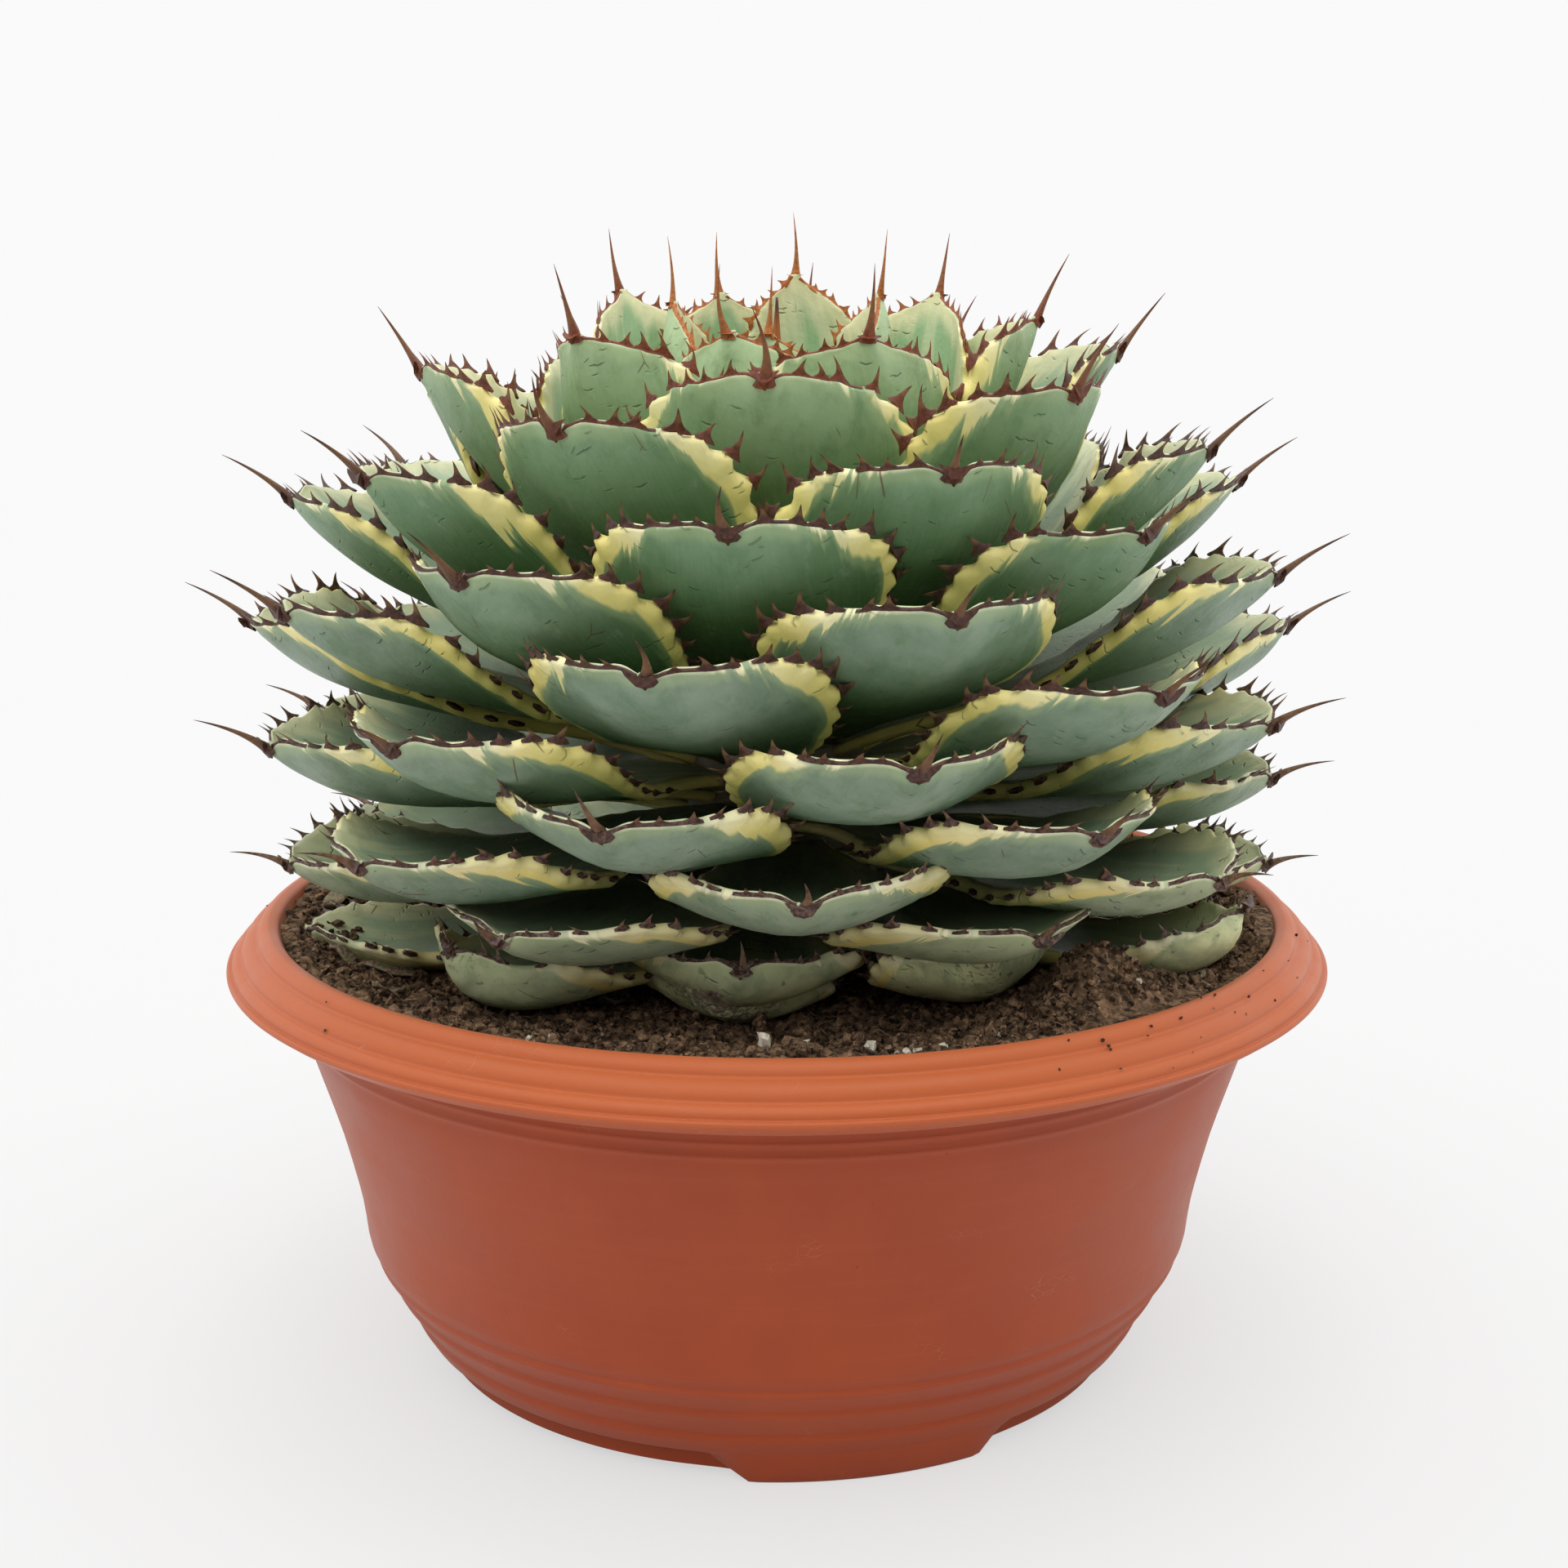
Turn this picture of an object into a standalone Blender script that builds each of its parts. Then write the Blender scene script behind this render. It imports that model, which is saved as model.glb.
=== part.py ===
"""Potted agave: a rosette of thick, cupped leaves on a short stem, potted in a round plastic bowl.

Metres, +Z up. The origin is on the ground, on the bowl's axis, and -Y is the front.
Bearings are in degrees, 0 at the front (-Y) and growing towards +X.
"""
from dataclasses import dataclass
import math

import bpy
import numpy as np

MM = 0.001
GAP = 0.3 * MM                        # clearance between pieces that touch

# Bowl
BOWL_STEPS = 36                       # facets round the bowl
FOOT_PADS = 3                         # pads the bowl stands on
FOOT_CENTRE = 13.5                    # bearing of the first pad's middle
FOOT_SPAN = 43.0                      # degrees that one pad takes up, to half way up its ends
FOOT_END = 4.0                        # degrees, half of what a pad's sloping end takes
SKIRT_HEIGHT = 8.5                    # mm, underside of the wall between two pads
SKIRT_LIP = 2.0                       # mm, how far its inner edge hangs below that
BASE_RING = 95.9                      # mm, outer radius of the ring inside the pads
BASE_RING_WIDTH = 4.0                 # mm
BASE_HEIGHT = 2.1                     # mm, clearance under the base ring
FLOOR_UNDERSIDE = 5.0                 # mm
FLOOR_TOP = 8.0                       # mm
FLOOR_FILLET = 3.0                    # mm, where the wall runs into the floor
# (radius, height) in mm, up the outside from the pads, over the rim and down the inside
WALL_FOOT = (99.3, 100.9)             # pad's outer radius at the ground and at the skirt
WALL_OUTSIDE = [(104.2, 13.8), (103.6, 15.0), (109.4, 22.8), (108.8, 24.0), (113.6, 30.2), (113.0, 31.4),
                (115.2, 34.5), (116.6, 46.9), (121.4, 67.7), (129.7, 93.7), (131.6, 104.0)]
RIM = [(145.5, 109.2), (149.4, 110.4), (150.0, 112.2), (148.1, 113.8), (147.7, 115.6), (145.3, 116.6),
       (144.4, 119.4), (141.2, 121.0), (140.4, 123.4), (138.2, 124.6), (136.4, 123.8)]
WALL_INSIDE = [(131.8, 112.0), (127.2, 93.7), (118.9, 67.7), (114.1, 46.9), (112.2, 34.5), (97.0, 9.5)]

# Soil
SOIL_EDGE = 115.5                     # mm, height of the soil at the bowl's wall
SOIL_MIDDLE = 112.6                   # mm, height under the rosette
SOIL_RISE = (100.0, 120.0)            # mm, radii between which it rises from the one to the other
SOIL_SHOULDER = 1.0                   # mm, how far its edge rounds down at the wall
SOIL_RINGS = (126.0, 112.0, 98.0, 70.0, 42.0)   # mm, radii of the surface's rings
SOIL_LUMP = 0.7                       # mm, height of its lumps
MOUND = (44.0, 114.0, 15.0, 11.0)     # a heap of soil: bearing, radius, half width in mm, height in mm

# Stem
STEM_STEPS = 24
STEM_BOTTOM = 96.0                    # mm, its foot sits in a socket in the soil
STEM_RADII = (29.0, 20.0)             # mm, at the two heights below
STEM_HEIGHTS = (100.0, 206.0)         # mm
BUD = [(20.0, 215.0), (14.0, 236.0), (8.5, 260.0), (3.0, 276.0)]   # (radius, height), furled young leaves
BUD_TIP = 288.0                       # mm, end of the bud's spine

# Rosette: a leaf's rank is its age, 0 for the youngest
FIRST_BEARING = 10.0                  # bearing of leaf 0
TURN = 137.9                          # turn from each leaf to the next older one
FIRST_ROOT = 212.0                    # mm, height of leaf 0's root on the stem
LAST_RANK = 86
ROOT_DROP = 94.0                      # mm, from the first root down to the last
FALLEN = {74, 77, 78, 79, 80, 82, 83, 84, 85}   # old leaves that are gone
HEART_RANKS = 21                      # the youngest leaves, grown together with the stem

# How leaves change with age: each row reads against RANKS
RANKS = (0, 6, 12, 18, 24, 30, 37, 49, 60, 73, 86)
REACH = (12, 43, 72, 97, 117, 128, 134, 138, 133, 122, 100)          # mm, axis to blade tip
HEIGHT = (279, 286, 276, 264, 247, 232, 214, 184, 160, 136, 128)     # mm, height of the blade tip
TIP_RISE = (88, 72, 58, 46, 44, 40, 36, 34, 32, 26, 20)              # degrees the blade climbs at its tip
SPINE_RISE = (86, 74, 58, 50, 42, 33, 30, 22, 14, 10, 10)            # degrees the end spine climbs
WIDTH = (30, 54, 72, 76, 76, 76, 76, 75, 73, 66, 54)                 # mm, measured round the cup
CUP = (50, 50, 50, 50, 50, 50, 50, 50, 46, 38, 34)                   # degrees from midrib to edge
PLUMPNESS = (1, 1, 1, 1, 1, 1, 1, 1, 0.95, 0.85, 0.8)                # share of the full thickness
SPINE_LENGTH = (17, 17, 19, 20, 21, 21, 21, 20, 16, 13, 12)          # mm

# Leaves that grow a little off the rule: blade tip's bearing, reach and height in mm, share of full width
GROWN = {
    0: (-10, 12, 279, 1), 1: (173, 40, 294, 1), 2: (-100, 27, 287, 1), 3: (110, 28, 289, 1),
    4: (-160, 46, 289, 1), 5: (-25, 28, 280, 1), 6: (132, 60, 289, 1), 7: (-128, 54, 290, 1), 8: (22, 58, 280, 1),
    10: (-48, 66, 280, 1), 11: (92, 68, 283, 1), 12: (-135, 78, 272, 1), 13: (-2, 84, 271, 1),
    15: (-85, 93, 270, 1), 16: (47, 97, 267, 1), 18: (-28, 104, 260, 1), 19: (97, 92, 274, 1),
    20: (-111, 101, 262, 1), 21: (20, 114, 250, 1), 23: (-57, 118, 247, 1), 24: (80, 113, 250, 1),
    25: (-135, 110, 250, 1), 26: (-5, 122, 240, 1), 27: (133, 118, 245, 1), 28: (-85, 128, 237, 1),
    29: (44, 123, 236, 1), 31: (-33, 131, 228, 1), 32: (99, 128, 236, 1), 33: (-126, 139, 238, 1),
    34: (17, 134, 221, 1), 36: (-62, 136, 214, 1), 37: (78, 132, 216, 1), 39: (-12, 137, 210, 1),
    41: (-90, 142, 203, 1), 42: (38, 142, 202, 1), 44: (-38, 142, 190, 1), 45: (97, 143, 199, 1),
    46: (-123, 142, 195, 1), 47: (13, 142, 189, 1), 49: (-68, 138, 178, 1), 50: (63, 137, 186, 1),
    52: (-16, 139, 174, 1), 54: (-105, 136, 172, 0.98), 55: (31, 141, 171, 1), 57: (-45, 139, 159, 1),
    58: (76, 133, 166, 1), 60: (2, 130, 156, 1), 62: (-72, 133, 145, 1), 63: (50, 139, 153, 1),
    65: (-31, 122, 141.2, 0.98), 67: (-113, 131, 139, 1), 68: (28, 120, 138, 1), 70: (-45, 116, 124, 0.86),
    71: (77.5, 133, 142, 1), 72: (-143, 125, 131, 1), 73: (-6, 95, 129, 0.82), 75: (-80, 131, 125, 0.86),
    76: (64, 130, 125, 0.9), 81: (26, 101, 126, 0.78), 86: (-9, 90, 121, 0.74)}

# Leaf blade
ROOT_WIDTH = 0.32                     # share of the full width at the root
WIDEST = 0.70                         # where along the blade it reaches full width
ROUNDING = 0.58                       # where its end starts to round off
BLUNTNESS = (2.6, 0.6)                # exponents of the rounded end: how long it stays full, how blunt it is
ROOT_THICKNESS = 3.2                  # mm
FULL_THICKNESS = 6.5                  # mm
FULL_THICKNESS_AT = 0.65
TIP_THICKNESS = 2.6                   # mm
THINNING = 1.6                        # exponent: the higher, the nearer the tip it thins
LENS = 1.5                            # exponent of the cross-section's fall from midrib to edge
EDGE_THICKNESS = 1.1                  # mm
TIP_HALF_WIDTH = 1.3                  # mm, where the end spine starts
ROOT_HANDLE = 0.44                    # share of the chord that the midrib leaves the stem straight
TIP_HANDLE = 0.28                     # share of the chord over which it turns up to its tip
CUP_STARTS = 0.4
CUP_FULL = 0.85
ROOT_CUP = 0.1                        # share of the full cup near the root
STATIONS = np.array([0.0, 0.25, 0.5, 0.72, 0.9, 1.0])
ACROSS = np.array([-1.0, -0.55, 0.0, 0.55, 1.0])
HEART_ROOT_DEPTH = 3.0                # mm that a heart leaf's root sinks into the stem

# Colour, roughness
TERRACOTTA = ((0.56, 0.12, 0.045), 0.55)
PEAT = ((0.045, 0.028, 0.018), 0.95)
STEM_GREEN = ((0.30, 0.38, 0.22), 0.6)
LEAF_GREEN = ((0.16, 0.28, 0.22), 0.5)


@dataclass
class Leaf:
    """One leaf's place and proportions; lengths in mm, angles in radians."""
    rank: int
    bearing: float
    lean: float
    root: tuple
    tip: tuple
    tip_rise: float
    spine_rise: float
    spine_length: float
    half_width: float
    cup: float
    plumpness: float


def clear_scene():
    for item in list(bpy.data.objects):
        bpy.data.objects.remove(item, do_unlink=True)


def plain_material(name, look):
    colour, roughness = look
    material = bpy.data.materials.new(name)
    material.use_nodes = True
    shader = material.node_tree.nodes["Principled BSDF"]
    shader.inputs["Base Color"].default_value = (*colour, 1.0)
    shader.inputs["Roughness"].default_value = roughness
    shader.inputs["Metallic"].default_value = 0.0
    return material


def add_solid(name, points_mm, faces, material, smooth_angle=None):
    """An object from points in mm and faces that look outwards."""
    mesh = bpy.data.meshes.new(name)
    mesh.from_pydata((np.asarray(points_mm) * MM).tolist(), [], faces)
    mesh.materials.append(material)
    if smooth_angle:
        mesh.shade_smooth()
        mesh.set_sharp_from_angle(angle=math.radians(smooth_angle))
    solid = bpy.data.objects.new(name, mesh)
    bpy.context.collection.objects.link(solid)
    return solid


# ---- turned pieces: bowl, soil, stem

def turned(rings, bottom, top):
    """A closed solid from equally long rings, the lowest first, and a point on the axis at each end."""
    count, steps = len(rings), len(rings[0])
    points = np.vstack([np.reshape(rings, (-1, 3)), [(0, 0, bottom)], [(0, 0, top)]])
    under, over = len(points) - 2, len(points) - 1
    faces = []
    for j in range(steps):
        k = (j + 1) % steps
        faces.append((under, k, j))
        for i in range(count - 1):
            low, high = i * steps, (i + 1) * steps
            faces.append((low + j, low + k, high + k, high + j))
        last = (count - 1) * steps
        faces.append((last + j, last + k, over))
    return points, faces


def ring(radii, heights, bearings):
    """Points round the axis; radii and heights are one number or one for each bearing (radians)."""
    radii = np.broadcast_to(radii, bearings.shape)
    heights = np.broadcast_to(heights, bearings.shape)
    return np.stack([radii * np.sin(bearings), -radii * np.cos(bearings), heights], axis=1)


def bowl_bearings():
    """Even steps round the bowl, with two more at each end of a foot pad."""
    steps = {360 * j / BOWL_STEPS for j in range(BOWL_STEPS)}
    for pad in range(FOOT_PADS):
        for side in (-1, 1):
            edge = FOOT_CENTRE + 360 * pad / FOOT_PADS + side * FOOT_SPAN / 2
            steps |= {(edge - FOOT_END) % 360, (edge + FOOT_END) % 360}
    return np.radians(sorted(steps))


def pad_share(bearings):
    """1 over a foot pad, 0 between two pads, in between on a pad's sloping ends."""
    period = 360 / FOOT_PADS
    offset = (np.degrees(bearings) - FOOT_CENTRE + period / 2) % period - period / 2
    return np.clip((FOOT_SPAN / 2 + FOOT_END - np.abs(offset)) / (2 * FOOT_END), 0, 1)


def make_bowl(material):
    """The bowl: a turned wall with a rolled, grooved rim, standing on three pads under its skirt."""
    bearings = bowl_bearings()
    pad = pad_share(bearings)
    rings = [ring(BASE_RING - BASE_RING_WIDTH, FLOOR_UNDERSIDE, bearings),
             ring(BASE_RING - BASE_RING_WIDTH, BASE_HEIGHT, bearings),
             ring(BASE_RING, BASE_HEIGHT, bearings),
             ring(BASE_RING, (SKIRT_HEIGHT - SKIRT_LIP) * (1 - pad), bearings),
             ring(BASE_RING + (WALL_FOOT[0] - BASE_RING) * pad, SKIRT_HEIGHT * (1 - pad), bearings),
             ring(WALL_FOOT[1], SKIRT_HEIGHT, bearings)]
    rings += [ring(radius, height, bearings) for radius, height in WALL_OUTSIDE + RIM + WALL_INSIDE]
    rings.append(ring(WALL_INSIDE[-1][0] - FLOOR_FILLET, FLOOR_TOP, bearings))
    points, faces = turned(rings, FLOOR_UNDERSIDE, FLOOR_TOP)
    return add_solid("bowl", points, faces, material, smooth_angle=30)


def wall_radius(height):
    """Inner radius of the bowl at a height."""
    radii, heights = zip(*sorted(WALL_INSIDE, key=lambda point: point[1]))
    return np.interp(height, heights, radii)


def soil_height(radius, bearings):
    """Lumpy surface, a little higher at the wall, with one heap between two leaves."""
    inner, outer = SOIL_RISE
    edge = np.clip((radius - inner) / (outer - inner), 0, 1)
    level = SOIL_MIDDLE + (SOIL_EDGE - SOIL_MIDDLE) * edge
    lumps = SOIL_LUMP * np.sin(5 * bearings + radius / 9) * np.cos(3 * bearings - radius / 7)
    bearing, distance, half_width, height = MOUND
    across = radius * np.sin(bearings) - distance * math.sin(math.radians(bearing))
    along = radius * np.cos(bearings) - distance * math.cos(math.radians(bearing))
    heap = height * np.exp(-(across ** 2 + along ** 2) / half_width ** 2)
    return level + lumps * edge + heap


def make_soil(material):
    """Peat that fills the bowl, with a socket in the middle for the stem."""
    bearings = bowl_bearings()
    gap = GAP / MM
    rings = [ring(wall_radius(height) - gap, height + gap, bearings)
             for _, height in sorted(WALL_INSIDE, key=lambda point: point[1])[:-1]]
    shoulder = SOIL_EDGE - SOIL_SHOULDER
    rings.append(ring(wall_radius(shoulder) - gap, shoulder, bearings))
    rings += [ring(radius, soil_height(radius, bearings), bearings) for radius in SOIL_RINGS]
    socket = stem_radius(STEM_BOTTOM) + 2 * gap
    rings.append(ring(socket, SOIL_MIDDLE, bearings))
    rings.append(ring(socket, STEM_BOTTOM - gap, bearings))
    points, faces = turned(rings, FLOOR_TOP + 2 * gap, STEM_BOTTOM - gap)
    return add_solid("soil", points, faces, material)


def stem_radius(height):
    return np.interp(height, STEM_HEIGHTS, STEM_RADII)


def make_stem(material):
    """The short stem, thicker at its foot, ending in the furled bud."""
    bearings = np.radians(np.arange(STEM_STEPS) * 360 / STEM_STEPS)
    rings = [ring(stem_radius(height), height, bearings) for height in (STEM_BOTTOM,) + STEM_HEIGHTS]
    rings += [ring(radius, height, bearings) for radius, height in BUD]
    points, faces = turned(rings, STEM_BOTTOM, BUD_TIP)
    return add_solid("stem_and_heart", points, faces, material, smooth_angle=40)


# ---- leaves

def by_age(rank, values):
    return float(np.interp(rank, RANKS, values))


def grow(rank):
    """The leaf of one rank: its root follows the spiral, its tip the rule or its own place in GROWN."""
    bearing = (FIRST_BEARING + TURN * rank + 180) % 360 - 180
    tip_bearing, reach, height, width_share = GROWN.get(
        rank, (bearing, by_age(rank, REACH), by_age(rank, HEIGHT), 1))
    root_height = FIRST_ROOT - ROOT_DROP * rank / LAST_RANK
    return Leaf(
        rank=rank,
        bearing=math.radians(bearing),
        lean=math.radians((tip_bearing - bearing + 180) % 360 - 180),
        root=(float(stem_radius(root_height)), root_height),
        tip=(reach, height),
        tip_rise=math.radians(by_age(rank, TIP_RISE)),
        spine_rise=math.radians(by_age(rank, SPINE_RISE)),
        spine_length=by_age(rank, SPINE_LENGTH),
        half_width=by_age(rank, WIDTH) * width_share / 2,
        cup=math.radians(by_age(rank, CUP)),
        plumpness=by_age(rank, PLUMPNESS))


def width_along(u):
    """Half width over full half width: an S-shaped flare from the root, then a blunt rounded end."""
    flare = np.clip(u / WIDEST, 0, 1)
    body = ROOT_WIDTH + (1 - ROOT_WIDTH) * (3 * flare ** 2 - 2 * flare ** 3)
    end = np.clip((u - ROUNDING) / (1 - ROUNDING), 0, 1)
    fullness, bluntness = BLUNTNESS
    return body * (1 - end ** fullness) ** bluntness


def thickness_along(u):
    """Thickness at the midrib in mm: swells from the root, then thins to the tip."""
    swell = np.sin(math.pi / 2 * np.clip(u / FULL_THICKNESS_AT, 0, 1)) ** 2
    thin = np.clip((u - FULL_THICKNESS_AT) / (1 - FULL_THICKNESS_AT), 0, 1) ** THINNING
    full = ROOT_THICKNESS + (FULL_THICKNESS - ROOT_THICKNESS) * swell
    return full - (FULL_THICKNESS - TIP_THICKNESS) * thin


def midrib(leaf, u):
    """A cubic curve in the leaf's upright plane, as (distance, height), with its unit direction."""
    root, tip = np.array(leaf.root), np.array(leaf.tip)
    chord = tip - root
    length = math.hypot(*chord)
    first = root + ROOT_HANDLE * chord
    second = tip - TIP_HANDLE * length * np.array([math.cos(leaf.tip_rise), math.sin(leaf.tip_rise)])
    u = u[:, None]
    places = (1 - u) ** 3 * root + 3 * u * (1 - u) ** 2 * first + 3 * u ** 2 * (1 - u) * second + u ** 3 * tip
    slopes = (1 - u) ** 2 * (first - root) + 2 * u * (1 - u) * (second - first) + u ** 2 * (tip - second)
    return places, slopes / np.linalg.norm(slopes, axis=1, keepdims=True)


def blade_face(leaf, u, v, lower):
    """Grid of points on the upper or lower face: u runs root to tip, v from one edge (-1) to the other (1).

    Each cross-section is an arc about the midrib; the lower face lies deeper by a lens-shaped thickness.
    """
    places, directions = midrib(leaf, u)
    half_width = np.maximum(leaf.half_width * width_along(u), TIP_HALF_WIDTH)
    opening = ROOT_CUP + (1 - ROOT_CUP) * np.clip((u - CUP_STARTS) / (CUP_FULL - CUP_STARTS), 0, 1)
    bend = (leaf.cup * opening / np.maximum.accumulate(half_width))[:, None]
    angle = bend * half_width[:, None] * v
    sideways = np.sin(angle) / bend
    upwards = (1 - np.cos(angle)) / bend
    if lower:
        full = thickness_along(u)[:, None] * leaf.plumpness
        edge = np.minimum(EDGE_THICKNESS, full)
        depth = edge + (full - edge) * (1 - v ** 2) ** LENS
        sideways = sideways + depth * np.sin(angle)
        upwards = upwards - depth * np.cos(angle)
    distance = places[:, :1] - directions[:, 1:] * upwards
    height = places[:, 1:] + directions[:, :1] * upwards
    bearing = (leaf.bearing + leaf.lean * u)[:, None]
    return np.stack([distance * np.sin(bearing) + sideways * np.cos(bearing),
                     -distance * np.cos(bearing) + sideways * np.sin(bearing), height], axis=-1)


def spine_point(leaf):
    bearing = leaf.bearing + leaf.lean
    distance = leaf.tip[0] + leaf.spine_length * math.cos(leaf.spine_rise)
    height = leaf.tip[1] + leaf.spine_length * math.sin(leaf.spine_rise)
    return distance * math.sin(bearing), -distance * math.cos(bearing), height


def seat_root(face, clearance):
    """Moves a face's first row onto the stem, with a clearance."""
    radius = np.hypot(face[0, :, 0], face[0, :, 1])
    seat = stem_radius(face[0, :, 2]) + clearance
    face[0, :, :2] *= (seat / radius)[:, None]


def make_leaf(name, leaf, material, root_clearance):
    """A closed blade whose root end lies against the stem, drawn out into its end spine."""
    upper = blade_face(leaf, STATIONS, ACROSS, lower=False)
    lower = blade_face(leaf, STATIONS, ACROSS, lower=True)
    seat_root(upper, root_clearance)
    seat_root(lower, root_clearance)
    wide = len(ACROSS)
    around = 2 * wide
    points = np.concatenate([upper, lower[:, ::-1]], axis=1).reshape(-1, 3)
    tip = len(points)
    last = tip - around
    faces = [(j, j + 1, around - 2 - j, around - 1 - j) for j in range(wide - 1)]
    for j in range(around):
        k = (j + 1) % around
        for row in range(0, last, around):
            faces.append((row + j, row + around + j, row + around + k, row + k))
        faces.append((last + j, tip, last + k))
    return add_solid(name, np.vstack([points, [spine_point(leaf)]]), faces, material, smooth_angle=40)


def fuse(base, pieces):
    """Joins pieces to a base as one closed solid."""
    for piece in pieces:
        join = base.modifiers.new(piece.name, "BOOLEAN")
        join.operation = "UNION"
        join.object = piece
    evaluated = base.evaluated_get(bpy.context.evaluated_depsgraph_get())
    fused = bpy.data.meshes.new_from_object(evaluated)
    base.modifiers.clear()
    base.data = fused
    for piece in pieces:
        bpy.data.objects.remove(piece, do_unlink=True)


def make_rosette(stem, material):
    ranks = [rank for rank in range(LAST_RANK + 1) if rank not in FALLEN]
    heart = [make_leaf(f"heart_leaf_{rank:02d}", grow(rank), material, -HEART_ROOT_DEPTH)
             for rank in ranks if rank < HEART_RANKS]
    fuse(stem, heart)
    for rank in ranks:
        if rank >= HEART_RANKS:
            make_leaf(f"leaf_{rank:02d}", grow(rank), material, GAP / MM)


clear_scene()
leaf_green = plain_material("leaf_green", LEAF_GREEN)
make_bowl(plain_material("terracotta_plastic", TERRACOTTA))
make_soil(plain_material("peat", PEAT))
make_rosette(make_stem(plain_material("stem_green", STEM_GREEN)), leaf_green)
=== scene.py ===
"""The looks of a potted agave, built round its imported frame. Metres, +Z up, and the front faces -Y."""
import math

import bpy
import numpy as np
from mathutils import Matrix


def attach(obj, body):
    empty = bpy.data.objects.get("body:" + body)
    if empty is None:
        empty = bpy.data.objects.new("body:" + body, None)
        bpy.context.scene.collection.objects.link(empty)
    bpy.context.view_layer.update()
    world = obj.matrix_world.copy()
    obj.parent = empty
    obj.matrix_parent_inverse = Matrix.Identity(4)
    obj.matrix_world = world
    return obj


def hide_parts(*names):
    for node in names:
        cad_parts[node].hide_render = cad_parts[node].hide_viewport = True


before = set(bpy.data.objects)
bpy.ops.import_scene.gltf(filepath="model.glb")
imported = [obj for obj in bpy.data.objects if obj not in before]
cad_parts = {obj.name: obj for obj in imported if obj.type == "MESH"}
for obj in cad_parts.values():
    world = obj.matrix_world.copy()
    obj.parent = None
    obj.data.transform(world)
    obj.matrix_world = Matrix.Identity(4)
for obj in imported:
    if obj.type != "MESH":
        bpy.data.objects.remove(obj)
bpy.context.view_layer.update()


# ---- Studio
# The plant stands on a plain white table among white screens, so that light comes from above, from
# both sides and back up from the table, while the side of the camera is darker.

camera = bpy.data.objects.new("camera", bpy.data.cameras.new("camera"))
camera.location = (0, -0.637, 0.2933)
camera.rotation_euler = (math.radians(77.89), 0, 0)
camera.data.lens = 54.26
camera.data.shift_x = 0.0045
bpy.context.scene.collection.objects.link(camera)
bpy.context.scene.camera = camera
bpy.context.scene.view_settings.view_transform = "Standard"


def hang_lamp(name, turn, tilt, spread, strength):
    """A broad even lamp: tilt degrees from overhead, turned round from the front, spread degrees wide."""
    lamp = bpy.data.objects.new(name, bpy.data.lights.new(name, "SUN"))
    lamp.data.angle, lamp.data.energy = math.radians(spread), strength
    lamp.rotation_euler = (math.radians(tilt), 0, math.radians(turn))
    bpy.context.scene.collection.objects.link(lamp)


hang_lamp("overhead", 0, 8, 80, 1.3)
hang_lamp("front", -15, 42, 50, 0.9)
world = bpy.data.worlds.new("studio")
world.use_nodes = True
tree = world.node_tree
direction = tree.nodes.new("ShaderNodeSeparateXYZ")
tree.links.new(tree.nodes.new("ShaderNodeTexCoord").outputs["Generated"], direction.inputs[0])
screens = tree.nodes.new("ShaderNodeMapRange")
screens.interpolation_type = "SMOOTHSTEP"
# Dim, 0.16, from straight behind the camera, and bright, 1.25, from both sides on
for socket, number in zip(screens.inputs[1:5], (-0.90, -0.05, 0.16, 1.25)):
    socket.default_value = number
tree.links.new(direction.outputs["Y"], screens.inputs[0])
backdrop = tree.nodes.new("ShaderNodeMix")
backdrop.inputs[3].default_value = 1.0  # what the camera itself sees of them
tree.links.new(tree.nodes.new("ShaderNodeLightPath").outputs["Is Camera Ray"], backdrop.inputs[0])
tree.links.new(screens.outputs[0], backdrop.inputs[2])
tree.links.new(backdrop.outputs[0], tree.nodes["Background"].inputs["Strength"])
tree.nodes["Background"].inputs["Color"].default_value = (0.955, 0.955, 0.955, 1)
bpy.context.scene.world = world

floor_mesh = bpy.data.meshes.new("floor")
floor_mesh.from_pydata([(-6, -6, 0), (6, -6, 0), (6, 6, 0), (-6, 6, 0)], [], [(0, 1, 2, 3)])
floor_paint = bpy.data.materials.new("floor_paint")
floor_paint.use_nodes = True
paint, shader = floor_paint.node_tree, floor_paint.node_tree.nodes["Principled BSDF"]
seen = paint.nodes.new("ShaderNodeLightPath").outputs["Is Camera Ray"]
lit, glow = paint.nodes.new("ShaderNodeMix"), paint.nodes.new("ShaderNodeMath")
lit.inputs[2].default_value, lit.inputs[3].default_value = 0.68, 0.22  # what it throws back, and what is seen
glow.operation, glow.inputs[1].default_value = "MULTIPLY", 0.603  # its share of white seen in any shadow
paint.links.new(seen, lit.inputs[0])
paint.links.new(seen, glow.inputs[0])
paint.links.new(lit.outputs[0], shader.inputs["Base Color"])
paint.links.new(glow.outputs[0], shader.inputs["Emission Strength"])
shader.inputs["Emission Color"].default_value = (1, 1, 1, 1)
shader.inputs["Roughness"].default_value = 1.0
shader.inputs["Specular IOR Level"].default_value = 0.0
floor_mesh.materials.append(floor_paint)
floor = bpy.data.objects.new("floor", floor_mesh)
bpy.context.scene.collection.objects.link(floor)


# ---- Bowl
# A round bowl injection-moulded in matte terracotta plastic. Its wall runs up into a broad rolled
# rim of three ribs and a bead, and stands on three pads with a skirt between them.

MM = 0.001
BOWL_STEPS = 264  # facets round the bowl
FOOT_PADS = 3
FOOT_CENTRE = 13.5  # bearing of the first pad's middle, in degrees
FOOT_SPAN = 43.0  # degrees, to half way up a pad's sloping ends
FOOT_END = 4.0  # degrees, half of a sloping end
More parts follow.
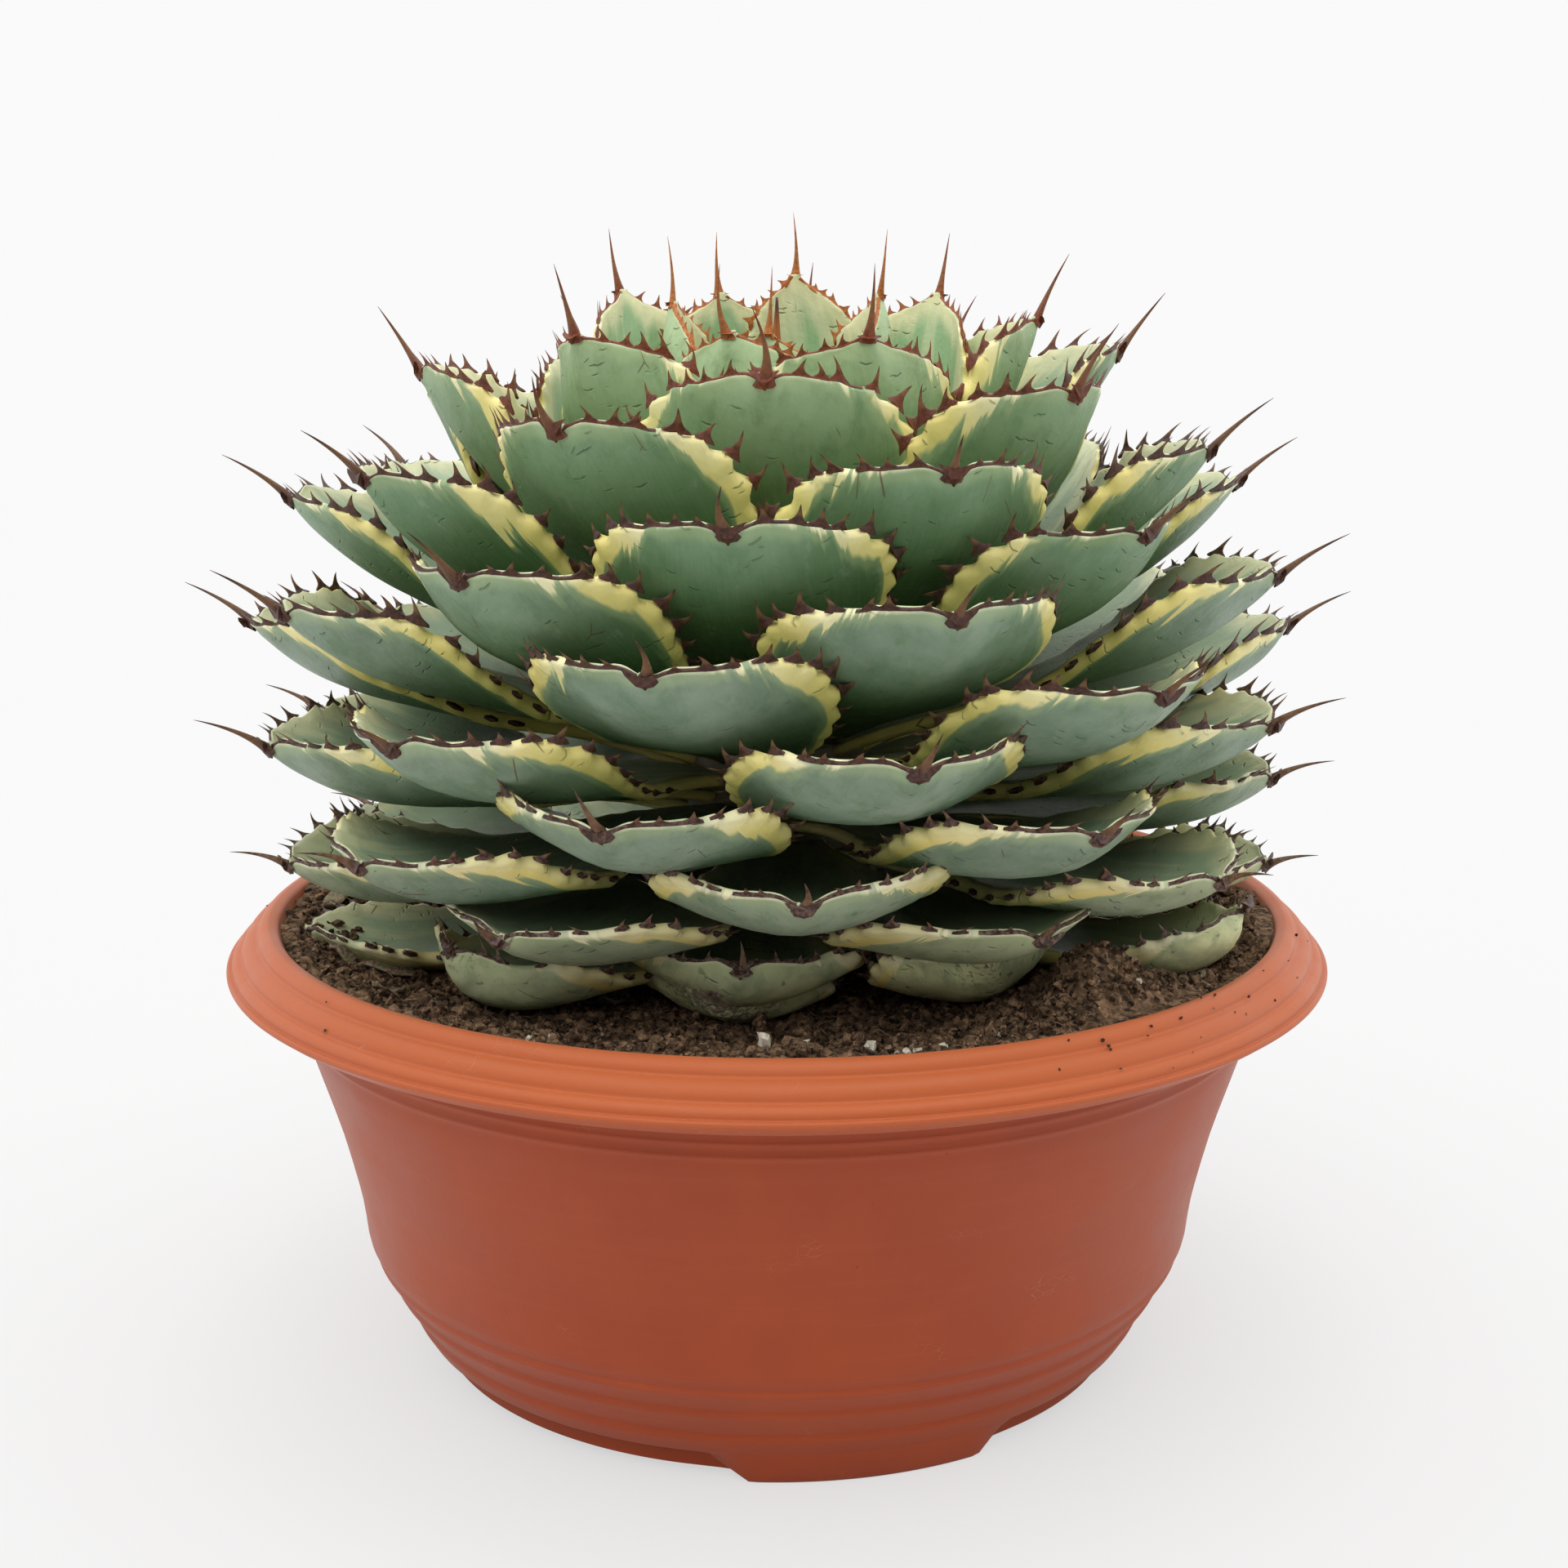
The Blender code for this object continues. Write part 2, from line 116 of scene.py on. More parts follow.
# Corners of the profile: radius and height in mm, and how far from it its rounding starts
UNDERSIDE = [(8, 5, 1), (91.9, 5, 1.5), (91.9, 2.1, 0.6), (95.9, 2.1, 0.6)]
FOOT_BETWEEN = [(95.9, 6.5, 0.4), (95.9, 8.5, 0.8), (100.9, 8.5, 0.8)]
FOOT_AT_PAD = [(95.9, 0, 0.6), (99.3, 0, 1.2), (100.9, 8.5, 0.8)]
WALL = [(104.2, 13.8, 1.4), (103.6, 15.0, 0.8), (109.4, 22.8, 1.4), (108.8, 24.0, 0.8), (113.6, 30.2, 1.4),
        (113.0, 31.4, 0.8), (115.2, 34.5, 2.2), (116.6, 46.9, 5), (121.4, 67.7, 8), (129.6, 93.4, 3),
        (130.1, 96.4, 0.5), (130.9, 97.5, 0.5), (130.7, 98.3, 0.4), (130.6, 99.9, 0.5), (131.5, 101.1, 0.5),
        (131.3, 101.9, 0.4), (131.3, 104.0, 0.8), (146.0, 108.9, 1.2)]
INSIDE = [(136.2, 123.6, 0.8), (131.8, 112.0, 2), (127.2, 93.7, 2), (118.9, 67.7, 2), (114.1, 46.9, 2),
          (112.2, 34.5, 2), (97.0, 9.5, 2), (94.0, 8.0, 2), (8, 8, 1)]
RIM_TOP, RIM_BOTTOM = (138.2, 124.2), (149.9, 111.6)  # the rim's slope
RIM_GROOVES = (0.0, 0.29, 0.64, 0.88, 1.0)  # where along the slope one rib ends
RIM_HEIGHTS = (1.15, 1.45, 1.15, 0.95)  # mm, how far each rib stands out
RIM_ROUNDING = 0.3


def rounded(corners, steps=3):
    """A profile with its corners rounded: from a to b, the places on both arms where the rounding
    starts, a corner c becomes the curve (1 - f)^2 a + 2 f (1 - f) c + f^2 b."""
    corners = np.array(corners, float)
    places, start = corners[:, :2], corners[1:-1, 2:]
    back, ahead = places[:-2] - places[1:-1], places[2:] - places[1:-1]
    back_length = np.linalg.norm(back, axis=1, keepdims=True)
    ahead_length = np.linalg.norm(ahead, axis=1, keepdims=True)
    a = places[1:-1] + back * np.minimum(start / back_length, 0.48)
    b = places[1:-1] + ahead * np.minimum(start / ahead_length, 0.48)
    f = np.linspace(0, 1, steps)[:, None, None]
    arcs = (1 - f) ** 2 * a + 2 * f * (1 - f) * places[1:-1] + f ** 2 * b
    return np.vstack([places[:1], arcs.transpose(1, 0, 2).reshape(-1, 2), places[-1:]])


def rim_profile(steps=10):
    """The rim from its lowest bead up to its inner edge. Each rib is an arch over the slope's
    straight line: height times sin(pi f)^0.65, with f running 0 to 1 from groove to groove."""
    grooves, heights = np.array(RIM_GROOVES), np.array(RIM_HEIGHTS)
    f = (np.arange(steps) + 0.5) / steps
    along = (grooves[:-1, None] + np.diff(grooves)[:, None] * f).ravel()
    lift = (heights[:, None] * np.sin(math.pi * f) ** 0.65).ravel()
    top, bottom = np.array(RIM_TOP), np.array(RIM_BOTTOM)
    slope = bottom - top
    outward = np.array([-slope[1], slope[0]]) / np.linalg.norm(slope)
    return (top + along[:, None] * slope + lift[:, None] * outward)[::-1]


def circle(steps):
    """Equal angles all the way round."""
    return np.arange(steps) * 2 * math.pi / steps


def turned(radii, heights, bearings, sideways=0):
    """Places round the axis: x = r sin(b) + w cos(b), y = w sin(b) - r cos(b), z = h, with w the way
    sideways. A profile has one row for each of its places, and one column for all bearings or for each."""
    radii, heights, bearings, sideways = np.broadcast_arrays(radii, heights, bearings, sideways)
    return np.stack([radii * np.sin(bearings) + sideways * np.cos(bearings),
                     sideways * np.sin(bearings) - radii * np.cos(bearings), heights], axis=-1)


def tubes(points, **values):
    """Closed tubes from points[tube, ring, step] in mm. Steps run anticlockwise seen from the last ring,
    and the middle of the first and of the last ring closes the ends. Values are attributes of its points."""
    points = np.asarray(points, float)
    points = points if points.ndim == 4 else points[None]
    count, rings, steps = points.shape[:3]

    def listed(value):
        """A value for each point of each tube, with the means of the end rings for the points that close them."""
        value = np.broadcast_to(value, (count, rings, steps) + np.shape(value)[3:])
        ends = [value[:, ring].mean(axis=1, keepdims=True) for ring in (0, -1)]
        return np.concatenate([value.reshape(count, rings * steps, *value.shape[3:])] + ends, axis=1)

    here = np.arange(rings * steps).reshape(rings, steps)
    after = np.roll(here, -1, axis=1)
    quads = np.stack([here[:-1], after[:-1], after[1:], here[1:]], axis=-1)
    start = np.stack([np.full(steps, rings * steps), after[0], here[0]], axis=-1)
    end = np.stack([here[-1], after[-1], np.full(steps, rings * steps + 1)], axis=-1)
    corners = np.concatenate([quads.ravel(), start.ravel(), end.ravel()])
    sizes = np.repeat([4, 3], [quads.size // 4, 2 * steps])
    offsets = np.arange(count)[:, None] * (rings * steps + 2)
    return {"points": listed(points).reshape(-1, 3), "corners": (corners + offsets).ravel(),
            "sizes": np.tile(sizes, count), "values": {name: listed(value).ravel() for name, value in values.items()}}


def add_piece(name, parts, material, nodes=(), sharp=None):
    """One object from several sets of tubes, riding on the body root in place of some CAD nodes."""
    starts = np.cumsum([0] + [len(part["points"]) for part in parts[:-1]])
    points = np.concatenate([part["points"] for part in parts]) * MM
    corners = np.concatenate([part["corners"] + start for part, start in zip(parts, starts)])
    sizes = np.concatenate([part["sizes"] for part in parts])
    mesh = bpy.data.meshes.new(name)
    mesh.vertices.add(len(points))
    mesh.vertices.foreach_set("co", points.astype(np.float32).ravel())
    mesh.loops.add(len(corners))
    mesh.loops.foreach_set("vertex_index", corners.astype(np.int32))
    mesh.polygons.add(len(sizes))
    mesh.polygons.foreach_set("loop_start", (np.cumsum(sizes) - sizes).astype(np.int32))
    mesh.update(calc_edges=True)
    for value in parts[0]["values"]:
        layer = mesh.attributes.new(value, "FLOAT", "POINT")
        layer.data.foreach_set("value", np.concatenate([p["values"][value] for p in parts]).astype(np.float32))
    mesh.shade_smooth()
    if sharp:
        mesh.set_sharp_from_angle(angle=math.radians(sharp))
    mesh.materials.append(material)
    piece = bpy.data.objects.new(name, mesh)
    bpy.context.scene.collection.objects.link(piece)
    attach(piece, "root")
    if nodes:
        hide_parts(*nodes)


class Layer:
    """Numbers or colours over a surface, given by a node of its finish. Signs between layers add nodes."""

    def __init__(self, finish, socket):
        self.finish, self.socket = finish, socket

    def __add__(self, other):
        return self.finish.maths("ADD", self, other)

    def __sub__(self, other):
        return self.finish.maths("SUBTRACT", self, other)

    def __mul__(self, other):
        return self.finish.maths("MULTIPLY", self, other)

    def __abs__(self):
        return self.finish.maths("ABSOLUTE", self)

    def step(self, low, high, start=0.0, end=1.0):
        """Start below low, end above high, and 3f^2 - 2f^3 in between."""
        inputs = {0: self, 1: low, 2: high, 3: start, 4: end}
        return self.finish.add("MapRange", inputs, interpolation_type="SMOOTHSTEP")


class Finish:
    """A procedural material. Each call adds one node and hands back the layer that it gives."""

    def __init__(self, name, roughness, specular=0.5):
        self.material = bpy.data.materials.new(name)
        self.material.use_nodes = True
        self.tree = self.material.node_tree
        self.shader = self.tree.nodes["Principled BSDF"]
        self.shader.inputs["Roughness"].default_value = roughness
        self.shader.inputs["Specular IOR Level"].default_value = specular

    def feed(self, socket, value):
        """Link a layer to a node's input, or set the input to a colour or a number."""
        if isinstance(value, Layer):
            self.tree.links.new(value.socket, socket)
        elif isinstance(value, tuple) and socket.type == "RGBA":
            socket.default_value = (*value, 1.0)
        else:
            socket.default_value = value

    def add(self, kind, inputs, output=0, **settings):
        """One node with its settings and inputs, and the layer that leaves by one of its outputs."""
        node = self.tree.nodes.new("ShaderNode" + kind)
        for name, value in settings.items():
            setattr(node, name, value)
        for socket, value in inputs.items():
            self.feed(node.inputs[socket], value)
        return Layer(self, node.outputs[output])

    def place(self, scale=(1.0, 1.0, 1.0)):
        """Object coordinates in mm, times a scale along each axis."""
        return self.stretch(self.add("TexCoord", {}, "Object"), tuple(share / MM for share in scale))

    def stretch(self, vector, scale):
        """Places times a scale along each axis, which makes a pattern finer there."""
        return self.add("VectorMath", {0: vector, 1: scale}, operation="MULTIPLY")

    def value(self, name):
        """An attribute of the piece's points."""
        return self.add("Attribute", {}, "Fac", attribute_name=name)

    def noise(self, vector, scale, detail=2.0, roughness=0.5):
        """Smooth random values from 0 to 1, scale times finer than the places."""
        return self.add("TexNoise", {"Vector": vector, "Scale": scale, "Detail": detail, "Roughness": roughness})

    def cells(self, vector, scale, feature="F1", output="Distance"):
        """Irregular cells: the distance to a cell's middle or edge, or the cell's own colour or place."""
        return self.add("TexVoronoi", {"Vector": vector, "Scale": scale}, output, feature=feature)

    def maths(self, operation, first, second=0.0):
        """A sum, a product or the like of two layers or numbers."""
        return self.add("Math", {0: first, 1: second}, operation=operation)

    def mix(self, share, first, second):
        """The first colour where the share is 0, the second where it is 1."""
        return self.add("Mix", {0: share, 6: first, 7: second}, 2, data_type="RGBA")

    def bumps(self, *layers):
        """Small relief: pairs of a height from 0 to 1 and what 1 stands for in mm."""
        normal = None
        for height, size in layers:
            inputs = {"Height": height, "Distance": size * MM}
            if normal:
                inputs["Normal"] = normal
            normal = self.add("Bump", inputs)
        self.feed(self.shader.inputs["Normal"], normal)

    def wear(self, colour, roughness=None):
        """Put the colour, and a roughness that varies, on the surface."""
        self.feed(self.shader.inputs["Base Color"], colour)
        if roughness:
            self.feed(self.shader.inputs["Roughness"], roughness)
        return self.material


def pad_share(bearings):
    """1 over a foot pad and 0 between two pads, in a straight line on a pad's sloping ends."""
    period = 360 / FOOT_PADS
    offset = (np.degrees(bearings) - FOOT_CENTRE + period / 2) % period - period / 2
    return np.clip((FOOT_SPAN / 2 + FOOT_END - np.abs(offset)) / (2 * FOOT_END), 0, 1)


def bowl_skin():
    """The bowl's two profiles, between the pads and at a pad, blended by the share of a pad."""
    rim = [(*place, RIM_ROUNDING) for place in rim_profile()]
    bearings = circle(BOWL_STEPS)
    between, at_pad = (rounded(UNDERSIDE + foot + WALL + rim + INSIDE) for foot in (FOOT_BETWEEN, FOOT_AT_PAD))
    share = pad_share(bearings)
    radii, heights = (between[:, axis, None] * (1 - share) + at_pad[:, axis, None] * share for axis in (0, 1))
    return tubes(turned(radii, heights, bearings))


def terracotta_plastic():
    """Matte moulded plastic: a fine satin grain, faint clouds, a rim top paled partly by handling and partly as
    painted sheen, scuffs and dark specks.
    """
    finish = Finish("terracotta_plastic", 0.5, 0.3)
    finish.shader.inputs["Sheen Weight"].default_value = 0.1
    finish.shader.inputs["Sheen Tint"].default_value = (1.0, 0.8, 0.68, 1)
    place = finish.place()
    clouds = finish.noise(place, 0.03, 4.0, 0.6)
    grain = finish.noise(place, 2.2, 3.0, 0.6)
    around = finish.noise(finish.place((0.02, 0.02, 0.5)), 1.0, 3.0)
    colour = finish.mix(clouds.step(0.3, 0.7), (0.33, 0.049, 0.0105), (0.364, 0.059, 0.013))
    colour = finish.mix(around.step(0.45, 0.8, 0.0, 0.1), colour, (0.46, 0.1, 0.036))
    # The rim's top is painted paler: partly wear from handling, partly painted sheen and light falling on it from
    # above
    rim_sheen_and_wear = finish.add("SeparateXYZ", {0: place}, 2).step(106.0, 116.0, 0.0, 0.75)
    colour = finish.mix(rim_sheen_and_wear, colour, (0.5, 0.122, 0.034))
    scuffs = finish.cells(finish.stretch(place, (0.25, 0.25, 0.5)), 1.0, "DISTANCE_TO_EDGE")
    patches = finish.noise(place, 0.045, 2.0)
    scuffed = scuffs.step(0.0, 0.012, 1.0, 0.0) * patches.step(0.6, 0.7)
    colour = finish.mix(scuffed * 0.55, colour, (0.62, 0.36, 0.26))
    specks = finish.cells(place, 0.16)
    dirty = finish.noise(place, 0.02, 1.0)
    speck = specks.step(0.03, 0.06, 1.0, 0.0) * dirty.step(0.58, 0.68)
    colour = finish.mix(speck * 0.7, colour, (0.09, 0.03, 0.02))
    finish.bumps((grain, 0.035), (clouds, 0.25))
    return finish.wear(colour, clouds.step(0.3, 0.7, 0.42, 0.56))


add_piece("bowl_moulding", [bowl_skin()], terracotta_plastic(), ["bowl"], sharp=50)


# ---- Soil
# Dark peat mixed with bark, fibres and white perlite grains, pressed in by hand round the stem.
# It lies a little higher at the bowl's wall, and some crumbs have spilled on the rim.

SOIL_EDGE, SOIL_MIDDLE = 120.6, 112.9  # mm, its height at the wall and under the rosette
SOIL_RISE = (108.0, 128.0)  # mm, radii between which it rises from one to the other
SOIL_WALL, SOIL_BRIM = 132.9, 123.2  # mm, its radius at the wall and the highest it reaches there
# Its side: radius and height in mm up the bowl's inner wall
SOIL_SIDE = [(6, 9.0), (96, 9.6), (111.6, 34.5), (113.6, 46.9), (118.4, 67.7), (126.7, 93.7), (131.0, 111.0)]
SOIL_STEPS = 880
LONG_LUMPS, COARSE, CRUMBLY = 0.7, 1.2, 2.4  # mm, heights of its long lumps, its waves and its clumps
# Places where soil is piled up: bearing in degrees, then radius, half width and height in mm
HEAPS = [(41.5, 114.0, 17.0, 18.0), (-101.0, 128.0, 11.0, 5.0), (80.0, 128.0, 16.0, 4.0)]
CRUMBS, CLODS, GRAINS, FIBRES, SPILLED = 6200, 130, 45, 260, 34
CRUMB_RADII, GRAIN_RADII, FIBRE_RADII = (84, 130.5), (100, 129), (75, 129)  # mm, between which they lie
CLOD_BEARINGS = [43, 22, -100, 78]  # degrees, round which the larger clods lie
# Perlite along the front wall: bearing in degrees, then radius and size in mm
FRONT_GRAINS = [(-1.3, 128.2, 4.6), (2.6, 128.6, 4.4), (9.6, 126.6, 4.8), (8.2, 125.4, 1.8), (14.8, 126.0, 4.2),
                (12.6, 125.0, 1.9), (13.4, 127.4, 2.6), (-8.4, 121.5, 3.0), (17.5, 127, 2.2), (-25.0, 124.0, 3.0)]
# Dead leaf scraps: bearing, radius, heading, length, half width and rise of their ends, in degrees and mm
HUSKS = [(-68, 114, -20, 25, 5.0, 1.5), (-33, 76, 70, 13, 3.6, 3.5), (-92, 124, 80, 15, 3.0, 2.5),
         (-52, 122, 35, 9, 1.8, 1.2), (57, 124, 20, 8, 1.6, 1.0)]
SPILL_BEARING, SPILL_SPREAD, SPILL_SHARE = 48, 16, 0.6  # degrees, and the share of the spilled crumbs there


def lattice_noise(places, seed):
    """Smooth random values from -1 to 1. Each corner of a unit lattice has a random value of its own,
    and a place blends those round it with weights 3f^2 - 2f^3."""
    cell = np.floor(places).astype(np.int64)
    share = places - cell
    share = share * share * (3 - 2 * share)
    primes = np.array([73856093, 19349663, 83492791])[:places.shape[-1]]
    total = np.zeros(places.shape[:-1])
    for corner in np.ndindex(*(2,) * places.shape[-1]):
        key = ((cell + corner) @ primes + seed * 668265263) & 0xFFFFFFFF
        key = ((key ^ (key >> 13)) * 1274126177) & 0xFFFFFFFF
        key = ((key ^ (key >> 15)) * 1103515245) & 0xFFFFFFFF
        weight = np.prod(np.where(corner, share, 1 - share), axis=-1)
        total += weight * ((key >> 8) / 8388607.5 - 1)
    return total


def rough_noise(places, seed, octaves=4):
    """Sums lattice noise at one, two, four ... times the fineness and half the height each time."""
    return sum(lattice_noise(places * 2 ** k, seed + k) / 2 ** k for k in range(octaves))


def clumps(flat):
    """How far the crumbs stand up: 0 in the creases between clumps of about 4 mm, up to 1 on their backs."""
    return np.abs(rough_noise(flat / 4.0, 23, 3))


def ramp(value, low, high):
    """0 below low, 1 above high, and a straight line in between."""
    return np.clip((value - low) / (high - low), 0, 1)


def soil_height(radius, bearings):
    """Height of the soil's top: the level between middle and wall, with long lumps sin(5 b + r / 9)
    cos(3 b - r / 7), heaps exp(-(d / half width)^2), waves and clumps. It keeps below the brim near the wall."""
    rise = ramp(radius, *SOIL_RISE)
    lumps = LONG_LUMPS * np.sin(5 * bearings + radius / 9) * np.cos(3 * bearings - radius / 7)
    heap = 0
    flat = np.stack([radius * np.sin(bearings), radius * np.cos(bearings)], axis=-1)
    for bearing, distance, half_width, height in HEAPS:
        centre = distance * np.array([math.sin(math.radians(bearing)), math.cos(math.radians(bearing))])
        heap = heap + height * np.exp(-((flat - centre) ** 2).sum(axis=-1) / half_width ** 2)
    rough = COARSE * rough_noise(flat / 9, 11, 2) + CRUMBLY * clumps(flat)
    level = SOIL_MIDDLE + (SOIL_EDGE - SOIL_MIDDLE) * rise + lumps * rise + heap + rough
    return np.minimum(level, SOIL_BRIM + 0.9 * np.clip(132 - radius, 0, 20))


def soil_skin():
    """The filling: up the bowl's inner wall, then inwards over the top in rings about 1 mm apart."""
    bearings = circle(SOIL_STEPS)
    side = np.array(SOIL_SIDE)
    radii = np.concatenate([np.linspace(SOIL_WALL, 62, 72), np.linspace(58, 4, 10)])[:, None] + 0 * bearings
    top = soil_height(radii, bearings)
    radii[0] = 131.4 + 0.38 * (top[0] - 112)  # the outermost ring follows the sloping wall of the bowl
    radii[1:60] += 0.5 * lattice_noise(turned(radii[1:60], top[1:60], bearings) / 2.5, 5)
    points = np.concatenate([turned(side[:, :1], side[:, 1:], bearings), turned(radii, top, bearings)])
    # Its tone is lighter on the backs of clumps and darker in the creases between them: painted shade
    return tubes(points, tone=0.05 + 0.85 * clumps(points[..., :2]))


def pebbles(random, places, sizes, steps=5):
    """Small rough lumps: rings at heights -0.7, 0 and 0.7 of radii 0.6, 1 and 0.55, each corner
    pushed in or out at random, the whole turned about all three axes. Each has a random tone, darker in creases as
    painted shade."""
    count, angle = len(places), circle(steps)
    ring, lift = np.array([0.6, 1.0, 0.55])[:, None], np.array([-0.7, 0.0, 0.7])[:, None]
    shape = np.stack([ring * np.cos(angle), ring * np.sin(angle), lift + 0 * angle], axis=-1)
    shape = shape * random.uniform(0.7, 1.25, (count, 3, steps, 1)) * random.uniform(0.6, 1.2, (count, 1, 1, 3))
    turns = np.linalg.qr(random.normal(size=(count, 3, 3)))[0]
    turns *= np.sign(np.linalg.det(turns))[:, None, None]
    shape = np.einsum("nij,nrsj->nrsi", turns, shape) * sizes[:, None, None, None] / 2
    tone = random.uniform(0, 1, count) ** 1.5 * (0.4 + 1.5 * clumps(places[:, :2]))
    return tubes(shape + places[:, None, None], tone=tone[:, None, None])


def scatter(random, count, low, high):
    """Random places on the soil between two radii, even in area."""
    radius = np.sqrt(random.uniform(low ** 2, high ** 2, count))
    bearing = random.uniform(-math.pi, math.pi, count)
    return radius, bearing


def on_soil(radius, bearing, lift):
    """Places on the soil's top, or lift mm above it."""
    return turned(radius, soil_height(radius, bearing) + lift, bearing)


def fibres(random, count):
    """Thin roots and bark fibres: a three-sided tube of five rings along an arc that lies on the soil."""
    radius, bearing = scatter(random, count, *FIBRE_RADII)
    heading, bow = random.uniform(0, 2 * math.pi, count), random.normal(0, 0.09, count)
    length = random.uniform(3, 11, count)
    run = np.linspace(-0.5, 0.5, 5) * length[:, None]
    turn = heading[:, None] + bow[:, None] * run
    x = radius * np.sin(bearing)
    y = -radius * np.cos(bearing)
    x, y = x[:, None] + run * np.cos(turn), y[:, None] + run * np.sin(turn)
    reach = np.minimum(np.hypot(x, y), 130.5)
    around = np.arctan2(x, -y)
    middle = on_soil(reach, around, random.uniform(0.1, 0.9, count)[:, None])
    middle[..., 2] += 0.8 * np.cos(np.linspace(-1.5, 1.5, 5)) * random.uniform(0, 1, count)[:, None]
    angle = circle(3)
    thick = random.uniform(0.14, 0.34, count)[:, None, None] * np.array([0.5, 0.9, 1, 0.9, 0.4])[:, None]
    side = np.stack([-np.sin(turn), np.cos(turn), 0 * turn], axis=-1)[:, :, None]
    round_it = np.cos(angle)[:, None] * side + np.sin(angle)[:, None] * np.array([0, 0, 1.0])
    return tubes(middle[:, :, None] + thick[..., None] * round_it)


def husks(random):
    """Dead leaf scraps on the soil: seven flattened rings along a line, f from -0.5 to 0.5, whose ends
    rise by 4 f^2, w (1 - 0.8 (2 f)^4) wide and curled up at the sides, every corner crumpled at random."""
    bearing, radius, heading, length, width, curl = (column[:, None] for column in np.array(HUSKS, float).T)
    f = np.linspace(-0.5, 0.5, 7)
    heading, bearing = np.radians(heading), np.radians(bearing)
    x = radius * np.sin(bearing) + f * length * np.cos(heading)
    y = -radius * np.cos(bearing) + f * length * np.sin(heading)
    middle = on_soil(np.hypot(x, y), np.arctan2(x, -y), 0.9 + curl * 4 * f ** 2)
    angle = circle(10)
    wide = (width * (1 - 0.8 * (2 * f) ** 4))[..., None] * np.cos(angle)
    side = np.stack([-np.sin(heading) + 0 * f, np.cos(heading) + 0 * f, 0 * (heading + f)], axis=-1)
    points = middle[:, :, None] + wide[..., None] * side[:, :, None]
    points[..., 2] += 0.7 * np.sin(angle) + 0.07 * wide ** 2
    return tubes(points + random.normal(0, 0.22, points.shape))


def dry_leaf():
    """Papery dead leaf, grey-brown with darker fibres along it and a little olive left in places."""
    finish = Finish("dry_leaf", 0.8)
    place = finish.place()
    fibres_seen, patches = finish.noise(finish.place((1.4, 0.4, 1.4)), 1.0, 3.0, 0.6), finish.noise(place, 0.2, 2.0)
    colour = finish.mix(fibres_seen.step(0.35, 0.65), (0.1, 0.06, 0.035), (0.3, 0.225, 0.14))
    colour = finish.mix(patches.step(0.5, 0.7, 0.0, 0.6), colour, (0.19, 0.19, 0.09))
    finish.bumps((fibres_seen, 0.4))
    return finish.wear(colour)


def peat():
    """Dark brown peat: each crumb has a random tone of its own, and soil and crumbs are darker in the creases between
    clumps as painted shade, over coarse and fine blotches and black cells.
    """
    finish = Finish("peat", 0.95, 0.25)
    place = finish.place()
    blotches, crumbs = finish.noise(place, 0.25, 4.0, 0.7), finish.noise(place, 1.3, 3.0, 0.7)
    grains = finish.add("SeparateColor", {0: finish.cells(finish.stretch(place, (1.0, 1.0, 1.3)), 0.75,
                                                          output="Color")})
    # The tone darkens soil and crumbs in the creases between clumps: painted shade
    shade = blotches.step(0.3, 0.7, 0.06, 0.44) + finish.value("tone") * 0.4
    shade = shade * (grains * 2.0 - 0.08)
    colour = finish.mix(shade, (0.02, 0.011, 0.006), (0.44, 0.265, 0.15))
    colour = finish.mix(crumbs.step(0.52, 0.72, 0.0, 0.6), colour, (0.36, 0.23, 0.135))
    finish.bumps((crumbs, 1.4), (finish.cells(place, 0.75), -1.2), (finish.noise(place, 3.5, 2.0), 0.4))
    return finish.wear(colour)


def perlite():
    """Chalky white grains, stained by the peat in their hollows."""
    finish = Finish("perlite", 0.9)
    place = finish.place()
    stain = finish.noise(place, 0.7, 3.0, 0.6)
    colour = finish.mix(stain.step(0.42, 0.7), (0.66, 0.62, 0.5), (0.3, 0.25, 0.17))
    finish.bumps((finish.noise(place, 2.5, 3.0, 0.7), 0.4))
    return finish.wear(colour)


def bark_fibre():
    """Dry brown fibres, paler in places along their length."""
    finish = Finish("bark_fibre", 0.8)
    shade = finish.noise(finish.place(), 0.2, 2.0)
    fine = finish.noise(finish.place(), 2.0, 2.0)
    finish.bumps((fine, 0.1))
    return finish.wear(finish.mix(shade.step(0.35, 0.65), (0.11, 0.055, 0.03), (0.3, 0.2, 0.13)))


random = np.random.default_rng(7)
soil_finish = peat()
add_piece("soil_filling", [soil_skin()], soil_finish, ["soil"])
radius, bearing = scatter(random, CRUMBS, *CRUMB_RADII)
size = random.gamma(2.2, 0.62, CRUMBS) + 0.6
crumbs = pebbles(random, on_soil(radius, bearing, 0.2 * size), size)
radius = random.normal(115, 8, CLODS).clip(92, 128)
bearing = np.radians(random.choice(CLOD_BEARINGS, CLODS) + random.normal(0, 9, CLODS))
size = random.uniform(2.0, 4.6, CLODS)
clods = pebbles(random, on_soil(radius, bearing, 0.12 * size), size, 7)
add_piece("soil_crumbs", [crumbs, clods], soil_finish, sharp=30)
radius, bearing = scatter(random, GRAINS, *GRAIN_RADII)
size = random.uniform(0.9, 2.4, GRAINS)
front = np.array(FRONT_GRAINS).T
radius, bearing = np.append(radius, front[1]), np.append(bearing, np.radians(front[0]))
size = np.append(size, front[2])
grains = pebbles(random, on_soil(radius, bearing, 0.25 * size), size, 6)
add_piece("perlite_grains", [grains], perlite(), sharp=40)
add_piece("peat_fibres", [fibres(random, FIBRES)], bark_fibre())
add_piece("dead_leaf_scraps", [husks(random)], dry_leaf())
bearing = np.radians(np.where(random.uniform(size=SPILLED) < SPILL_SHARE,
                              random.normal(SPILL_BEARING, SPILL_SPREAD, SPILLED),
                              random.uniform(-180, 180, SPILLED)))
